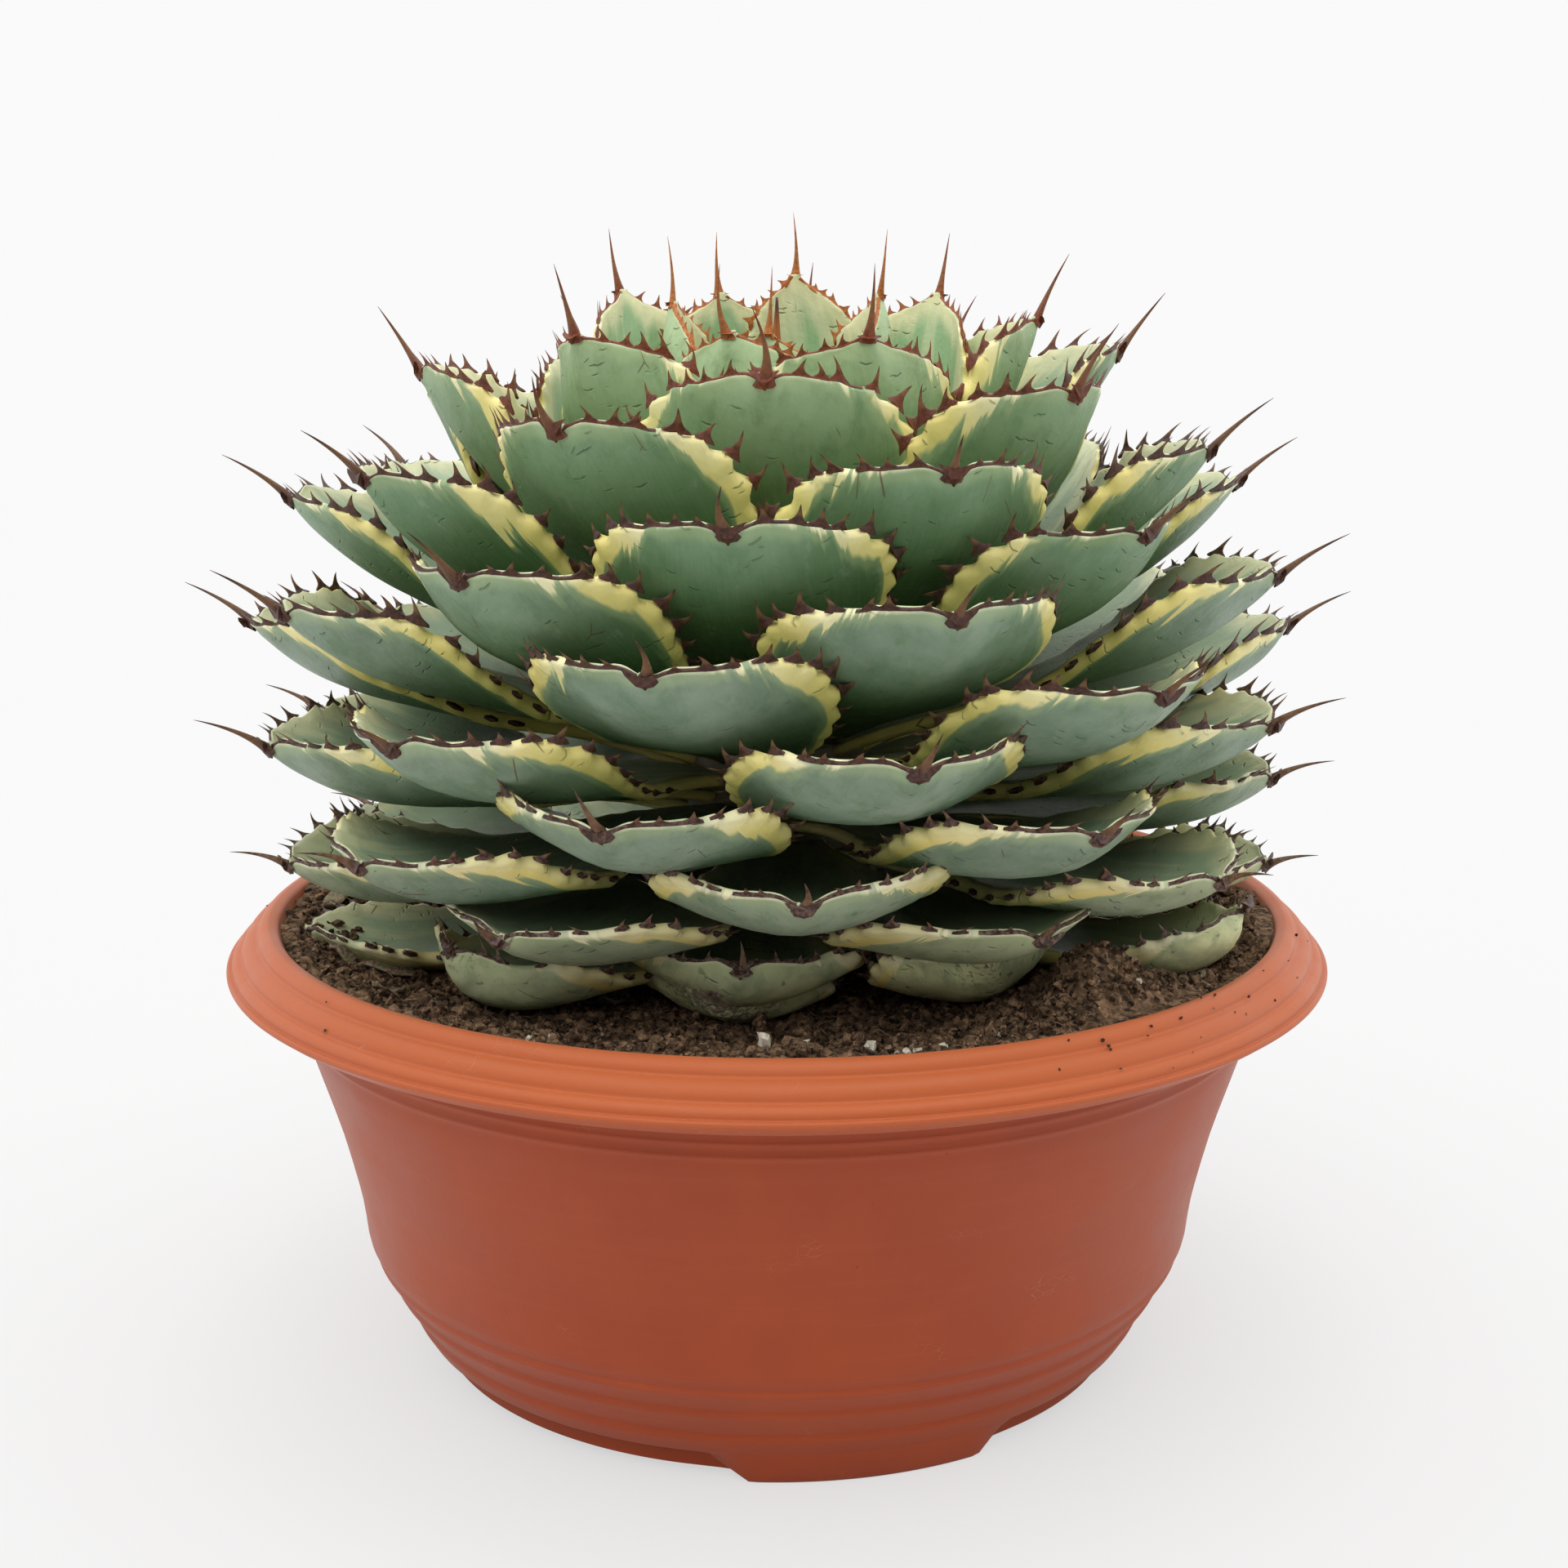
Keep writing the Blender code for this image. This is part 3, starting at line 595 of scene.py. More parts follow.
down = random.beta(1, 2.2, SPILLED)
radius = RIM_TOP[0] + 1 + down * (RIM_BOTTOM[0] - RIM_TOP[0])
height = RIM_TOP[1] + 0.9 + down * (RIM_BOTTOM[1] - RIM_TOP[1])
spilled = pebbles(random, turned(radius, height, bearing), random.uniform(0.3, 1.2, SPILLED))
add_piece("spilled_crumbs", [spilled], soil_finish)


# ---- Stem and bud
# The short woody stem carries every leaf and is ringed with the scars of fallen ones. It ends in
# the bud, the youngest leaves still furled round each other into a cone with one spine.

STEM_RADII, STEM_HEIGHTS = (29.0, 20.0), (100.0, 206.0)  # mm
STEM_FOOT, BUD_FOOT, BUD_TIP = 97, 200, 288.0  # mm, heights
GROWTH = 200  # mm above the stem's foot, what 1 stands for in the attribute of height
# Radius and height in mm up the bud
BUD = [(18.5, 200), (20.0, 215), (14.0, 236), (8.0, 258), (2.0, 270), (1.3, 276), (0.3, BUD_TIP)]
BUD_LEAVES = 5  # that are furled round it


def stem_radius(height):
    """In a straight line from the stem's foot to its top."""
    return np.interp(height, STEM_HEIGHTS, STEM_RADII)


def stem_skin():
    """The stem with low scar rings 4.5 mm apart that wind upwards: r + 0.7 |sin(pi (h / 4.5 + b / 2 pi))|."""
    bearings = circle(48)
    heights = np.linspace(STEM_FOOT, STEM_HEIGHTS[1], 110)[:, None]
    radii = stem_radius(heights) + 0.7 * np.abs(np.sin(math.pi * (heights / 4.5 + bearings / (2 * math.pi))))
    return tubes(turned(radii, heights, bearings), height=(heights - STEM_FOOT) / GROWTH, wrap=0.0)


def bud_skin():
    """The furled cone: radii between the bud's corners times 0.76 + 0.26 w^2, where w runs from 0 to 1
    between one leaf edge and the next of the five that wind up round it."""
    bearings = circle(120)
    heights = np.linspace(BUD_FOOT, BUD_TIP, 90)[:, None]
    corner_radii, corner_heights = zip(*BUD)
    wrap = (bearings / (2 * math.pi) * BUD_LEAVES + heights / 34) % 1
    radii = np.interp(heights, corner_heights, corner_radii) * (0.76 + 0.26 * wrap ** 2)
    return tubes(turned(radii, heights, bearings), height=(heights - STEM_FOOT) / GROWTH, wrap=wrap)


def bud_green():
    """Pale yellowish green with fine lengthwise lines, cream and orange along the furled edges, brown at
    the stem and at the bud's spine."""
    finish = Finish("bud_green", 0.5)
    height, wrap = finish.value("height"), finish.value("wrap")
    lines = finish.noise(finish.place((0.6, 0.6, 0.03)), 1.0, 3.0)
    colour = finish.mix(lines.step(0.35, 0.65), (0.46, 0.58, 0.3), (0.68, 0.74, 0.46))
    colour = finish.mix(wrap.step(0.72, 0.84), colour, (0.8, 0.76, 0.48))
    colour = finish.mix(wrap.step(0.9, 0.97), colour, (0.5, 0.17, 0.04))
    colour = finish.mix(height.step(0.5, 0.56), (0.16, 0.13, 0.07), colour)
    colour = finish.mix(height.step(0.8, 0.86), colour, (0.42, 0.13, 0.03))
    colour = finish.mix(height.step(0.91, 0.95), colour, (0.09, 0.03, 0.02))
    finish.bumps((lines, 0.3))
    return finish.wear(colour)


add_piece("stem_and_bud", [stem_skin(), bud_skin()], bud_green(), ["stem_and_heart"])


# ---- Leaf blades
# Thick stiff leaves, grown one after another round the stem, each 137.9 degrees on from the last.
# Old ones lie flat at the bottom. The blade is a fleshy spoon of waxy blue-green skin with a plump
# yellow margin, folded up at its sides and pressed with the outlines of its neighbours.

FIRST_BEARING, TURN = 10.0, 137.9  # degrees: leaf 0, and from each leaf to the next older
FIRST_ROOT, LAST_RANK, ROOT_DROP = 212.0, 86, 94.0
FALLEN = {74, 77, 78, 79, 80, 82, 83, 84, 85}  # old leaves that are gone
HEART_RANKS = 21  # the youngest leaves, one with the stem in the frame
# How leaves change with age: each row reads against RANKS
RANKS = (0, 6, 12, 18, 24, 30, 37, 49, 60, 73, 86)
REACH = (12, 43, 72, 97, 117, 128, 134, 138, 133, 122, 100)  # mm, axis to blade tip
HEIGHT = (279, 286, 276, 264, 247, 232, 214, 184, 160, 136, 128)  # mm
TIP_RISE = (88, 72, 58, 46, 44, 40, 36, 34, 32, 26, 20)  # degrees the blade climbs at its tip
SPINE_RISE = (86, 74, 58, 50, 42, 33, 30, 22, 14, 10, 10)  # degrees the end spine climbs
WIDTH = (30, 54, 72, 76, 76, 76, 76, 75, 73, 66, 54)  # mm, round the cup
CUP = (50, 50, 50, 50, 50, 50, 50, 50, 46, 38, 34)  # degrees from midrib to edge
PLUMPNESS = (1, 1, 1, 1, 1, 1, 1, 1, 0.95, 0.85, 0.8)
SPINE_LENGTH = (17, 17, 19, 20, 21, 21, 21, 20, 16, 13, 12)  # mm
# Leaves off the rule: blade tip's bearing, reach and height in mm, share of the full width
GROWN = {
    0: (-10, 12, 279, 1), 1: (173, 40, 294, 1), 2: (-100, 27, 287, 1), 3: (110, 28, 289, 1),
    4: (-160, 46, 289, 1), 5: (-25, 28, 280, 1), 6: (132, 60, 289, 1), 7: (-128, 54, 290, 1), 8: (22, 58, 280, 1),
    10: (-48, 66, 280, 0.94), 11: (92, 68, 283, 1), 12: (-135, 78, 272, 1), 13: (-2, 84, 271, 0.92),
    15: (-85, 93, 270, 1), 16: (47, 97, 267, 1), 18: (-29, 104, 260, 0.9), 19: (97, 92, 274, 1),
    20: (-111, 101, 262, 1), 21: (20, 114, 251.5, 0.91), 23: (-57, 118, 247, 0.93), 24: (80, 113, 250, 1),
    25: (-135, 110, 250, 1), 26: (-5, 122, 240, 0.92), 27: (133, 118, 245, 1), 28: (-85, 128, 237, 0.93),
    29: (44, 123, 236, 0.92), 31: (-33, 131, 228, 0.92), 32: (98, 127, 239, 0.93), 33: (-126, 139, 238, 1),
    34: (17, 134, 222, 0.95), 36: (-62, 136, 214, 0.93), 37: (78, 132, 218.5, 1), 39: (-12, 137, 210, 0.94),
    41: (-90, 142, 203, 0.93), 42: (38, 142, 202, 1), 44: (-38, 142, 190, 1), 45: (97, 143, 199, 0.93),
    46: (-123, 142, 193.5, 1), 47: (12.5, 142, 190, 0.91), 49: (-68, 138, 178, 1), 50: (63, 137, 186, 1),
    52: (-16, 139, 175.5, 0.93), 54: (-105, 136, 172, 0.98), 55: (31, 141, 171.5, 0.94), 57: (-45, 139, 159, 1),
    58: (76, 133, 166, 1), 60: (2.6, 130, 157.5, 0.94), 62: (-72, 133, 145, 1), 63: (50, 139, 153, 1),
    65: (-32.5, 122, 142.5, 0.97), 67: (-113, 131, 139, 1), 68: (31.5, 120, 142.5, 1), 71: (77.5, 133, 142, 1),
    72: (-143, 125, 131, 1)}
# The blade's outline: share of its full width at the root, and the shares of its length where it is widest
# and starts to round off, with the powers that make its end blunt
ROOT_WIDTH, WIDEST, ROUNDING, BLUNTNESS = 0.32, 0.70, 0.58, (2.6, 0.6)
ROOT_THICKNESS, FULL_THICKNESS, FULL_THICKNESS_AT, TIP_THICKNESS, THINNING = 3.2, 6.5, 0.65, 2.6, 1.6
TIP_HALF_WIDTH = 1.3  # mm
ROOT_HANDLE, TIP_HANDLE = 0.44, 0.28  # shares of the chord, for the handles of the midrib's curve
CUP_STARTS, CUP_FULL, ROOT_CUP = 0.4, 0.85, 0.1  # shares of the length, and the share of the cup at the root
EDGE = ((0, 0.35, 0.6, 0.85, 1), (3.0, 4.6, 4.4, 2.6, 1.5))  # share of length, edge thickness in mm
SUNK = 0.03  # share of a blade that runs on into the stem
ROWS, COLUMNS = 84, 15
POINT_STARTS, POINT_WIDTH = 0.955, 5.0  # the drawn-out point: share of length, half width in mm
HEART_POINT_STARTS, HEART_POINT_WIDTH = 0.93, 9.5  # the same on the youngest leaves
LOBES, LOBES_START = 4.8, 0.72  # the blunt end past the tip: mm, and from which share of length
FOLD, WAVES, CRUMPLE = 2.1, 1.1, 2.2  # mm: how far it stands up beside its tip, waves, and crumples where dried
WITHERED = {70: 0.35, 73: 0.2, 75: 0.25, 76: 0.35, 81: 0.45, 86: 0.7}  # how far an old leaf has dried at its end
WITHERED_REACH = 38  # mm from the tip
# Old leaves that lie on the soil and curl up at their ends: bearing of the root, then bearing, reach and height
# of the tip, its climb, cup, share of the full width, share of the length that curls up, climb of the spine
CURLED = {
    70: (-36, -46, 111, 132.5, 82, 66, 0.84, 0.34, 50), 73: (-7, -5, 97, 133.5, 66, 50, 0.86, 0.30, 30),
    75: (-73, -79, 129, 122.5, 30, 38, 0.86, 0.30, -25), 76: (60, 63, 131, 138.5, 80, 62, 0.74, 0.31, 60),
    81: (44, 28.5, 103, 136, 76, 62, 0.98, 0.35, 50), 86: (-4, -9, 92, 127, 62, 50, 0.84, 0.30, 30)}
# Spines off the rule: share of the usual length, and degrees added to their climb
SPINES = {
    18: (0.8, -4), 21: (0.55, 0), 23: (0.95, -10), 24: (1, -4), 26: (0.75, 0), 28: (1, -5), 34: (0.62, 4),
    39: (0.8, 6), 42: (0.75, 6), 44: (0.68, 0), 47: (0.8, 14), 52: (0.9, 22), 55: (0.9, 14), 60: (0.7, 24),
    65: (0.7, 20), 68: (0.7, 24), 70: (0.3, 0), 73: (0.6, 30), 76: (0.35, 0), 81: (0.3, 0), 86: (0.3, 0)}
TEETH_A_SIDE, TOOTHED = 16, 0.74  # at most, and the share of the margin that bears them
# The margin's swellings under its teeth: mm down from the tip, height in mm, and half their length in mm
TEATS, TEAT_REACH = ((0, 12, 25, 40, 60, 90), (0.4, 0.8, 2.1, 3.0, 1.9, 0.9)), 4.5
FIELD = 100  # mm, what 1 stands for in the attributes that measure a blade


class Leaf:
    """One leaf: where it grows and its proportions, in mm and radians. Its blade is measured flat: x runs
    along the midrib from the root, t round the cup from the midrib, depth down from the upper face."""

    def __init__(self, rank):
        """Tables of the blade by s, the share of its length. Its half width is the body, which flares by
        3f^2 - 2f^3 and rounds off by (1 - e^2.6)^0.6, joined to the point by a cube root of summed cubes."""
        def by_age(row):
            """This leaf's own value, in straight lines between the ranks of the table."""
            return float(np.interp(rank, RANKS, row))

        bearing = (FIRST_BEARING + TURN * rank + 180) % 360 - 180
        tip_bearing, reach, height, share = GROWN.get(rank, (bearing, by_age(REACH), by_age(HEIGHT), 1))
        root_height = FIRST_ROOT - ROOT_DROP * rank / LAST_RANK
        self.rank, self.age = rank, rank / LAST_RANK
        in_heart = rank < HEART_RANKS
        self.node = "stem_and_heart" if in_heart else f"leaf_{rank:02d}"
        self.slot = "young_leaf" if in_heart else "leaf"
        self.random = np.random.default_rng(100 + rank)
        self.seed = self.random.uniform()
        self.wither = WITHERED.get(rank, 0.0)
        cup, climb, curl, spine_climb = by_age(CUP), by_age(TIP_RISE), TIP_HANDLE, by_age(SPINE_RISE)
        if rank in CURLED:
            bearing, tip_bearing, reach, height, climb, cup, share, curl, spine_climb = CURLED[rank]
        self.bearing, self.curl = math.radians(bearing), curl
        self.lean = math.radians((tip_bearing - bearing + 180) % 360 - 180)
        self.root, self.tip = np.array([stem_radius(root_height), root_height]), np.array([reach, height], float)
        self.tip_rise = math.radians(climb)
        length_share, more_climb = SPINES.get(rank, (1, 0))
        self.spine_rise = math.radians(spine_climb + more_climb)
        self.spine_length = by_age(SPINE_LENGTH) * length_share
        self.lobes = LOBES * float(np.interp(rank, (8, 14, 60, 75), (0, 1, 1, 0.6)))
        self.plumpness = by_age(PLUMPNESS)
        cup, half_width = math.radians(cup), by_age(WIDTH) * share / 2
        # The tables behind the methods: closer together towards the blunt tip
        self.s = 1 - (1 - np.linspace(0, 1, 900)) ** 2
        flare = ramp(self.s, 0, WIDEST)
        point_starts = np.interp(rank, (8, 16), (HEART_POINT_STARTS, POINT_STARTS))
        point_width = np.interp(rank, (8, 16), (HEART_POINT_WIDTH, POINT_WIDTH)) * half_width / 38
        end = ramp(self.s, ROUNDING, point_starts + 0.01)
        body = ROOT_WIDTH + (1 - ROOT_WIDTH) * (3 * flare ** 2 - 2 * flare ** 3)
        rounded_end = half_width * body * (1 - end ** BLUNTNESS[0]) ** BLUNTNESS[1]
        point = TIP_HALF_WIDTH + point_width * ramp(1 - self.s, 0, 1 - point_starts) ** 1.6
        self.half = (rounded_end ** 3 + point ** 3) ** (1 / 3)
        opening = ROOT_CUP + (1 - ROOT_CUP) * ramp(self.s, CUP_STARTS, CUP_FULL)
        self.bend = cup * opening / np.maximum.accumulate(self.half)
        steps = np.diff(self.midrib(self.s)[0], axis=0)
        self.x = np.append(0, np.cumsum(np.hypot(steps[:, 0], steps[:, 1])))
        run = np.append(0, np.cumsum(np.hypot(np.diff(self.x), np.diff(self.half))))
        self.length, self.margin, self.down = self.x[-1], run[-1], run[-1] - run

    def midrib(self, s):
        """Distance from the axis and height along a cubic Bezier curve, and its unit direction."""
        chord = self.tip - self.root
        first = self.root + ROOT_HANDLE * chord
        rise = np.array([math.cos(self.tip_rise), math.sin(self.tip_rise)])
        second = self.tip - self.curl * math.hypot(*chord) * rise
        s = np.asarray(s)[..., None]
        r = 1 - s
        places = r ** 3 * self.root + 3 * s * r ** 2 * first + 3 * s ** 2 * r * second + s ** 3 * self.tip
        slopes = r ** 2 * (first - self.root) + 2 * s * r * (second - first) + s ** 2 * (self.tip - second)
        return places, slopes / np.linalg.norm(slopes, axis=-1, keepdims=True)

    def thickness(self, s):
        """Swells from the root with sin^2, then thins to the tip with a power."""
        swell = np.sin(math.pi / 2 * ramp(s, 0, FULL_THICKNESS_AT)) ** 2
        thin = ramp(s, FULL_THICKNESS_AT, 1) ** THINNING
        full = ROOT_THICKNESS + (FULL_THICKNESS - ROOT_THICKNESS) * swell
        return (full - (FULL_THICKNESS - TIP_THICKNESS) * thin) * self.plumpness

    def edge(self, s):
        """Thickness of the margin in mm, thinner on the youngest leaves."""
        return np.interp(s, *EDGE) * self.plumpness * min(1.0, 0.6 + self.age * 2)

    def share_below(self, down):
        """Share of the length at a place on the margin, down mm from the tip."""
        return np.interp(-down, -self.down, self.s)

    def share_at(self, x):
        """Share of the length at x, carried on past the tip in a straight line."""
        pace = (self.x[-1] - self.x[-9]) / (self.s[-1] - self.s[-9])
        return np.interp(x, self.x, self.s) + np.maximum(x - self.length, 0) / pace

    def place(self, s, t, depth):
        """Points in space. A cross-section is an arc about the midrib: at the angle bend * t it lies
        sin / bend sideways and (1 - cos) / bend up, less depth along the arc's radius. Towards the blunt
        end all but the midrib has grown ahead, by lobes (1 - exp(-(t / 3.6)^2)) (3 e^2 - 2 e^3)."""
        end = ramp(s, LOBES_START, 1)
        s = s + self.lobes / self.length * (1 - np.exp(-(t / 3.6) ** 2)) * end ** 2 * (3 - 2 * end)
        middle, direction = self.midrib(s)
        bend = np.interp(s, self.s, self.bend)
        angle = bend * t
        sideways = np.sin(angle) * (1 / bend + depth)
        upwards = (1 - np.cos(angle)) / bend - depth * np.cos(angle)
        distance = middle[..., 0] - direction[..., 1] * upwards
        height = middle[..., 1] + direction[..., 0] * upwards
        return turned(distance, height, self.bearing + self.lean * s, sideways)

    def ruin(self, s, t):
        """How far the blade has dried, falling in a straight line to nothing away from its tip."""
        return self.wither * np.clip(1 - np.hypot(self.length * (1 - s), t) / WITHERED_REACH, 0, 1)

    def relief(self, s, t):
        """How far down growth has moved a point, in mm. Slow waves, more at the margins; the fold that
        stands up either side of the tip, FOLD (1 - exp(-(t / 4)^2)); the crumpling of a dried end."""
        v = np.clip(np.abs(t) / np.interp(s, self.s, self.half), 0, 1)
        flat = np.stack(np.broadcast_arrays(s * self.length / 24, t / 18), axis=-1)
        waves = WAVES * rough_noise(flat + 40 * self.seed, 31, 2) * (0.25 + 0.75 * v ** 2) * np.clip(s * 3, 0, 1)
        near = np.exp(-(self.length * (1 - s) / 16) ** 2)
        fold = FOLD * min(1.0, 0.4 + 4 * self.age) * (1 - np.exp(-(t / 4) ** 2)) * near
        crumple = CRUMPLE * self.ruin(s, t) * rough_noise(flat * 4 + 7 * self.seed, 57, 3)
        return crumple - waves - fold

    def grow_teeth(self):
        """Where the teeth of each margin sit: 7.5 + 5.6 k + 0.17 k^2 mm down from the tip, less in the heart."""
        self.teeth = {}
        k = np.arange(TEETH_A_SIDE)
        for side in (1, -1):
            down = 7.5 + 5.6 * k + 0.17 * k * k + self.random.normal(0, 0.9, TEETH_A_SIDE)
            down *= min(1.0, 0.55 + 3 * self.age)
            self.teeth[side] = down[down < TOOTHED * self.margin]

    def teats(self, side, down):
        """How far the margin swells out under its teeth, in mm: a corner (1 - d / 4.5)^1.4 high round each."""
        teeth = self.teeth[side]
        near = np.clip(1 - np.abs(down[..., None] - teeth) / TEAT_REACH, 0, 1)
        return np.max(np.interp(teeth, *TEATS) * near ** 1.4, axis=-1, initial=0)


def blade_skin(leaf):
    """The closed blade. Row q lies at an equal share of the margin's length on the edge and of the midrib
    in the middle, so that rows curve round the blunt tip. Each ring runs over the upper face from one
    edge to the other, round a half-circle edge and back under the lower face, which lies
    edge + (full - edge) (1 - v^2)^1.5 deep."""
    q = np.concatenate([[-SUNK], 1 - (1 - np.linspace(0, 1, ROWS)) ** 1.15])[:, None]
    line = np.linspace(-1, 1, COLUMNS)
    line = line * (1.25 - 0.25 * line ** 2)
    corner = np.radians([45, 0, -45])
    v = np.concatenate([line[::-1], [-1, -1, -1], line, [1, 1, 1]])
    angle = np.concatenate([np.full(COLUMNS, math.pi / 2), corner, np.full(COLUMNS, -math.pi / 2), corner[::-1]])
    upper = np.concatenate([np.ones(COLUMNS), [0.7, 0.5, 0.3], np.zeros(COLUMNS), [0.3, 0.5, 0.7]])
    down = np.minimum((1 - q) * leaf.margin, leaf.margin)
    s_edge = leaf.share_below(down)
    half = np.interp(s_edge, leaf.s, leaf.half)
    s = q + (s_edge - np.maximum(q, 0)) * v ** 2
    edge = leaf.edge(np.clip(s, 0, 1))
    full = np.maximum(leaf.thickness(np.clip(s, 0, 1)), edge)
    radius = leaf.edge(s_edge) / 2
    near = np.clip((np.abs(v) - 0.5) / 0.5, 0, 1) ** 2
    teats = np.where(v > 0, leaf.teats(1, down), leaf.teats(-1, down)) * near
    t = v * (half - radius) + np.sign(v) * (radius * np.cos(angle) + teats)
    depth = np.where(upper == 1, 0.0, edge + (full - edge) * np.clip(1 - v ** 2, 0, 1) ** 1.5)
    depth = np.where((upper > 0) & (upper < 1), radius * (1 - np.sin(angle)), depth)
    from_tip = leaf.length - s * leaf.length
    widest = int(np.argmax(leaf.half))
    below = np.interp(np.abs(t), leaf.half[:widest:-1], leaf.s[:widest:-1]) * leaf.length - s * leaf.length
    crease = 0.5 * np.exp(-(t / 1.6) ** 2) * np.exp(-(from_tip / 22) ** 2) * (upper < 1)
    t = t * (1 - 0.12 * leaf.ruin(s, t))
    places = leaf.place(s, t, depth + leaf.relief(s, t) - crease)
    measures = {"across": t, "from_tip": from_tip, "down": down, "from_edge": np.maximum(half - np.abs(t), 0),
                "below": np.maximum(below, 0)}
    return tubes(places, upper=upper, age=leaf.age, seed=leaf.seed, ruin=leaf.ruin(s, t),
                 **{name: measure / FIELD for name, measure in measures.items()})


def leaf_skin():
    """Waxy skin. Blue-green bloom in fine lengthwise lines, a yellow margin that runs down into the green in
    pointed streaks, pressed outlines of other leaves, brown hairline scratches and dried ends."""
    finish = Finish("leaf_skin", 0.5, 0.35)
    upper, age, seed, ruin = map(finish.value, ("upper", "age", "seed", "ruin"))
    across, from_tip, down, from_edge, below = (
        finish.value(name) * FIELD for name in ("across", "from_tip", "down", "from_edge", "below"))
    flat = finish.add("CombineXYZ", {0: across, 1: from_tip, 2: seed * 300.0})
    streaks = finish.noise(finish.stretch(flat, (0.19, 0.022, 1.0)), 1.0, 2.0, 0.45)
    columns = finish.noise(finish.stretch(flat, (0.24, 0.012, 1.0)), 1.0, 3.0, 0.62)
    lines = finish.noise(finish.stretch(flat, (1.6, 0.05, 1.0)), 1.0, 3.0, 0.6)
    clouds = finish.noise(flat, 0.07, 3.0, 0.55)
    fine = finish.noise(flat, 0.9, 3.0, 0.6)
    # Body green: fresh in the heart, blue-green with bloom further out, and darker towards the root as painted shade
    fresh = age.step(0.02, 0.27, 1.0, 0.0)
    bloom = finish.mix(clouds.step(0.3, 0.7), (0.138, 0.25, 0.128), (0.212, 0.33, 0.2))
    grey = finish.mix(clouds.step(0.3, 0.7), (0.184, 0.26, 0.184), (0.268, 0.348, 0.264))
    bloom = finish.mix(age.step(0.29, 0.42), bloom, grey)
    body = finish.mix(fresh, bloom, (0.44, 0.58, 0.32))
    # The root colour is painted shade: the blade darkens towards its root, where the leaves above shade it
    root = finish.mix(fresh, (0.075, 0.15, 0.052), (0.24, 0.38, 0.15))
    root_shade_from_tip = clouds * 16.0 + from_tip - age.step(0.29, 0.5, 0.0, 30.0)
    body = finish.mix(root_shade_from_tip.step(12.0, 52.0), body, root)
    body = finish.mix(lines.step(0.35, 0.7, 0.0, 0.16), body, (0.24, 0.37, 0.22))
    # Old leaves fade to a pale yellow-green; the oldest are painted paler still, as painted light against the shade
    # of the leaves above
    faded_and_painted_light = age.step(0.64, 0.84) * clouds.step(0.2, 0.6, 0.45, 0.95)
    body = finish.mix(faded_and_painted_light, body, finish.mix(age.step(0.76, 0.9), (0.52, 0.57, 0.33), (0.74, 0.76, 0.4)))
    rubbed = finish.noise(finish.stretch(flat, (1.0, 0.6, 1.0)), 0.17, 4.0, 0.65)
    body = finish.mix(rubbed.step(0.46, 0.72, 0.0, 0.42), body, (0.095, 0.19, 0.082))
    body = finish.mix(rubbed.step(0.42, 0.26, 0.0, 0.3), body, (0.36, 0.46, 0.36))
    stained = finish.noise(flat, 0.22, 2.0).step(0.66, 0.72) * age.step(0.5, 0.8)
    body = finish.mix(stained * 0.6, body, (0.06, 0.12, 0.05))
    # The margin: columns of yellow hang down from the blunt end, and a band follows the sides
    reach = (columns - 0.5) * abs(across).step(11.0, 33.0, 0.0, 84.0)
    hanging = (reach - below) * 0.5
    width = down.step(20.0, 36.0, -1.5, 2.4) + age.step(0.42, 0.62, 0.0, 1.1)
    band = width + (streaks - 0.5) * down.step(20.0, 38.0, 0.5, 8.0)
    inside = finish.maths("MAXIMUM", hanging, band - from_edge)
    pale, yellow = inside.step(-2.6, -0.6), inside.step(-0.5, 0.7)
    cream = finish.mix((down + clouds * 30.0).step(28.0, 62.0), (0.87, 0.84, 0.55), (0.86, 0.73, 0.24))
    colour = finish.mix(pale * 0.4, body, (0.42, 0.52, 0.26))
    colour = finish.mix(yellow, colour, cream)
    # The upper face is duller and paler, cream towards its margins and in soft streaks, and darkened down in the cup
    # as painted shade
    middle = finish.mix(fresh, (0.32, 0.42, 0.28), (0.26, 0.44, 0.21))
    inner = finish.mix((from_edge + streaks * -16.0).step(-6.0, 3.0),
                       finish.mix(fresh, (0.64, 0.64, 0.4), (0.78, 0.76, 0.44)), middle)
    inner = finish.mix(streaks.step(0.52, 0.66, 0.0, 0.5), inner, (0.6, 0.63, 0.38))
    # Painted shade: the upper face darkens towards the root, down in the cup under the leaves above
    cup_shade = from_tip.step(22.0, 62.0) * age.step(0.35, 0.7, 0.3, 0.72)
    inner = finish.mix(cup_shade, inner, (0.035, 0.055, 0.025))
    colour = finish.mix(upper.step(0.72, 0.95, 0.0, 0.9), colour, inner)
    corner = from_edge.step(0.5, 1.3, 1.0, 0.0) * age.step(0.45, 0.75)
    colour = finish.mix(corner * 0.4, colour, (0.6, 0.58, 0.4))
    # Bud imprints: short bowed dashes across the blade
    pattern = finish.stretch(flat, (0.2, 0.26, 1.0))
    cell = finish.add("VectorMath", {0: pattern, 1: finish.cells(pattern, 1.0, output="Position")},
                      operation="SUBTRACT")
    above = finish.add("SeparateXYZ", {0: cell}, 1)
    ring = abs(finish.cells(pattern, 1.0) - 0.27)
    dash = ring.step(0.01, 0.1, 1.0, 0.0) * above.step(0.06, 0.18)
    dash = dash * finish.noise(flat, 0.1, 2.0).step(0.52, 0.6)
    colour = finish.mix(dash * 0.3, colour, (0.06, 0.12, 0.06))
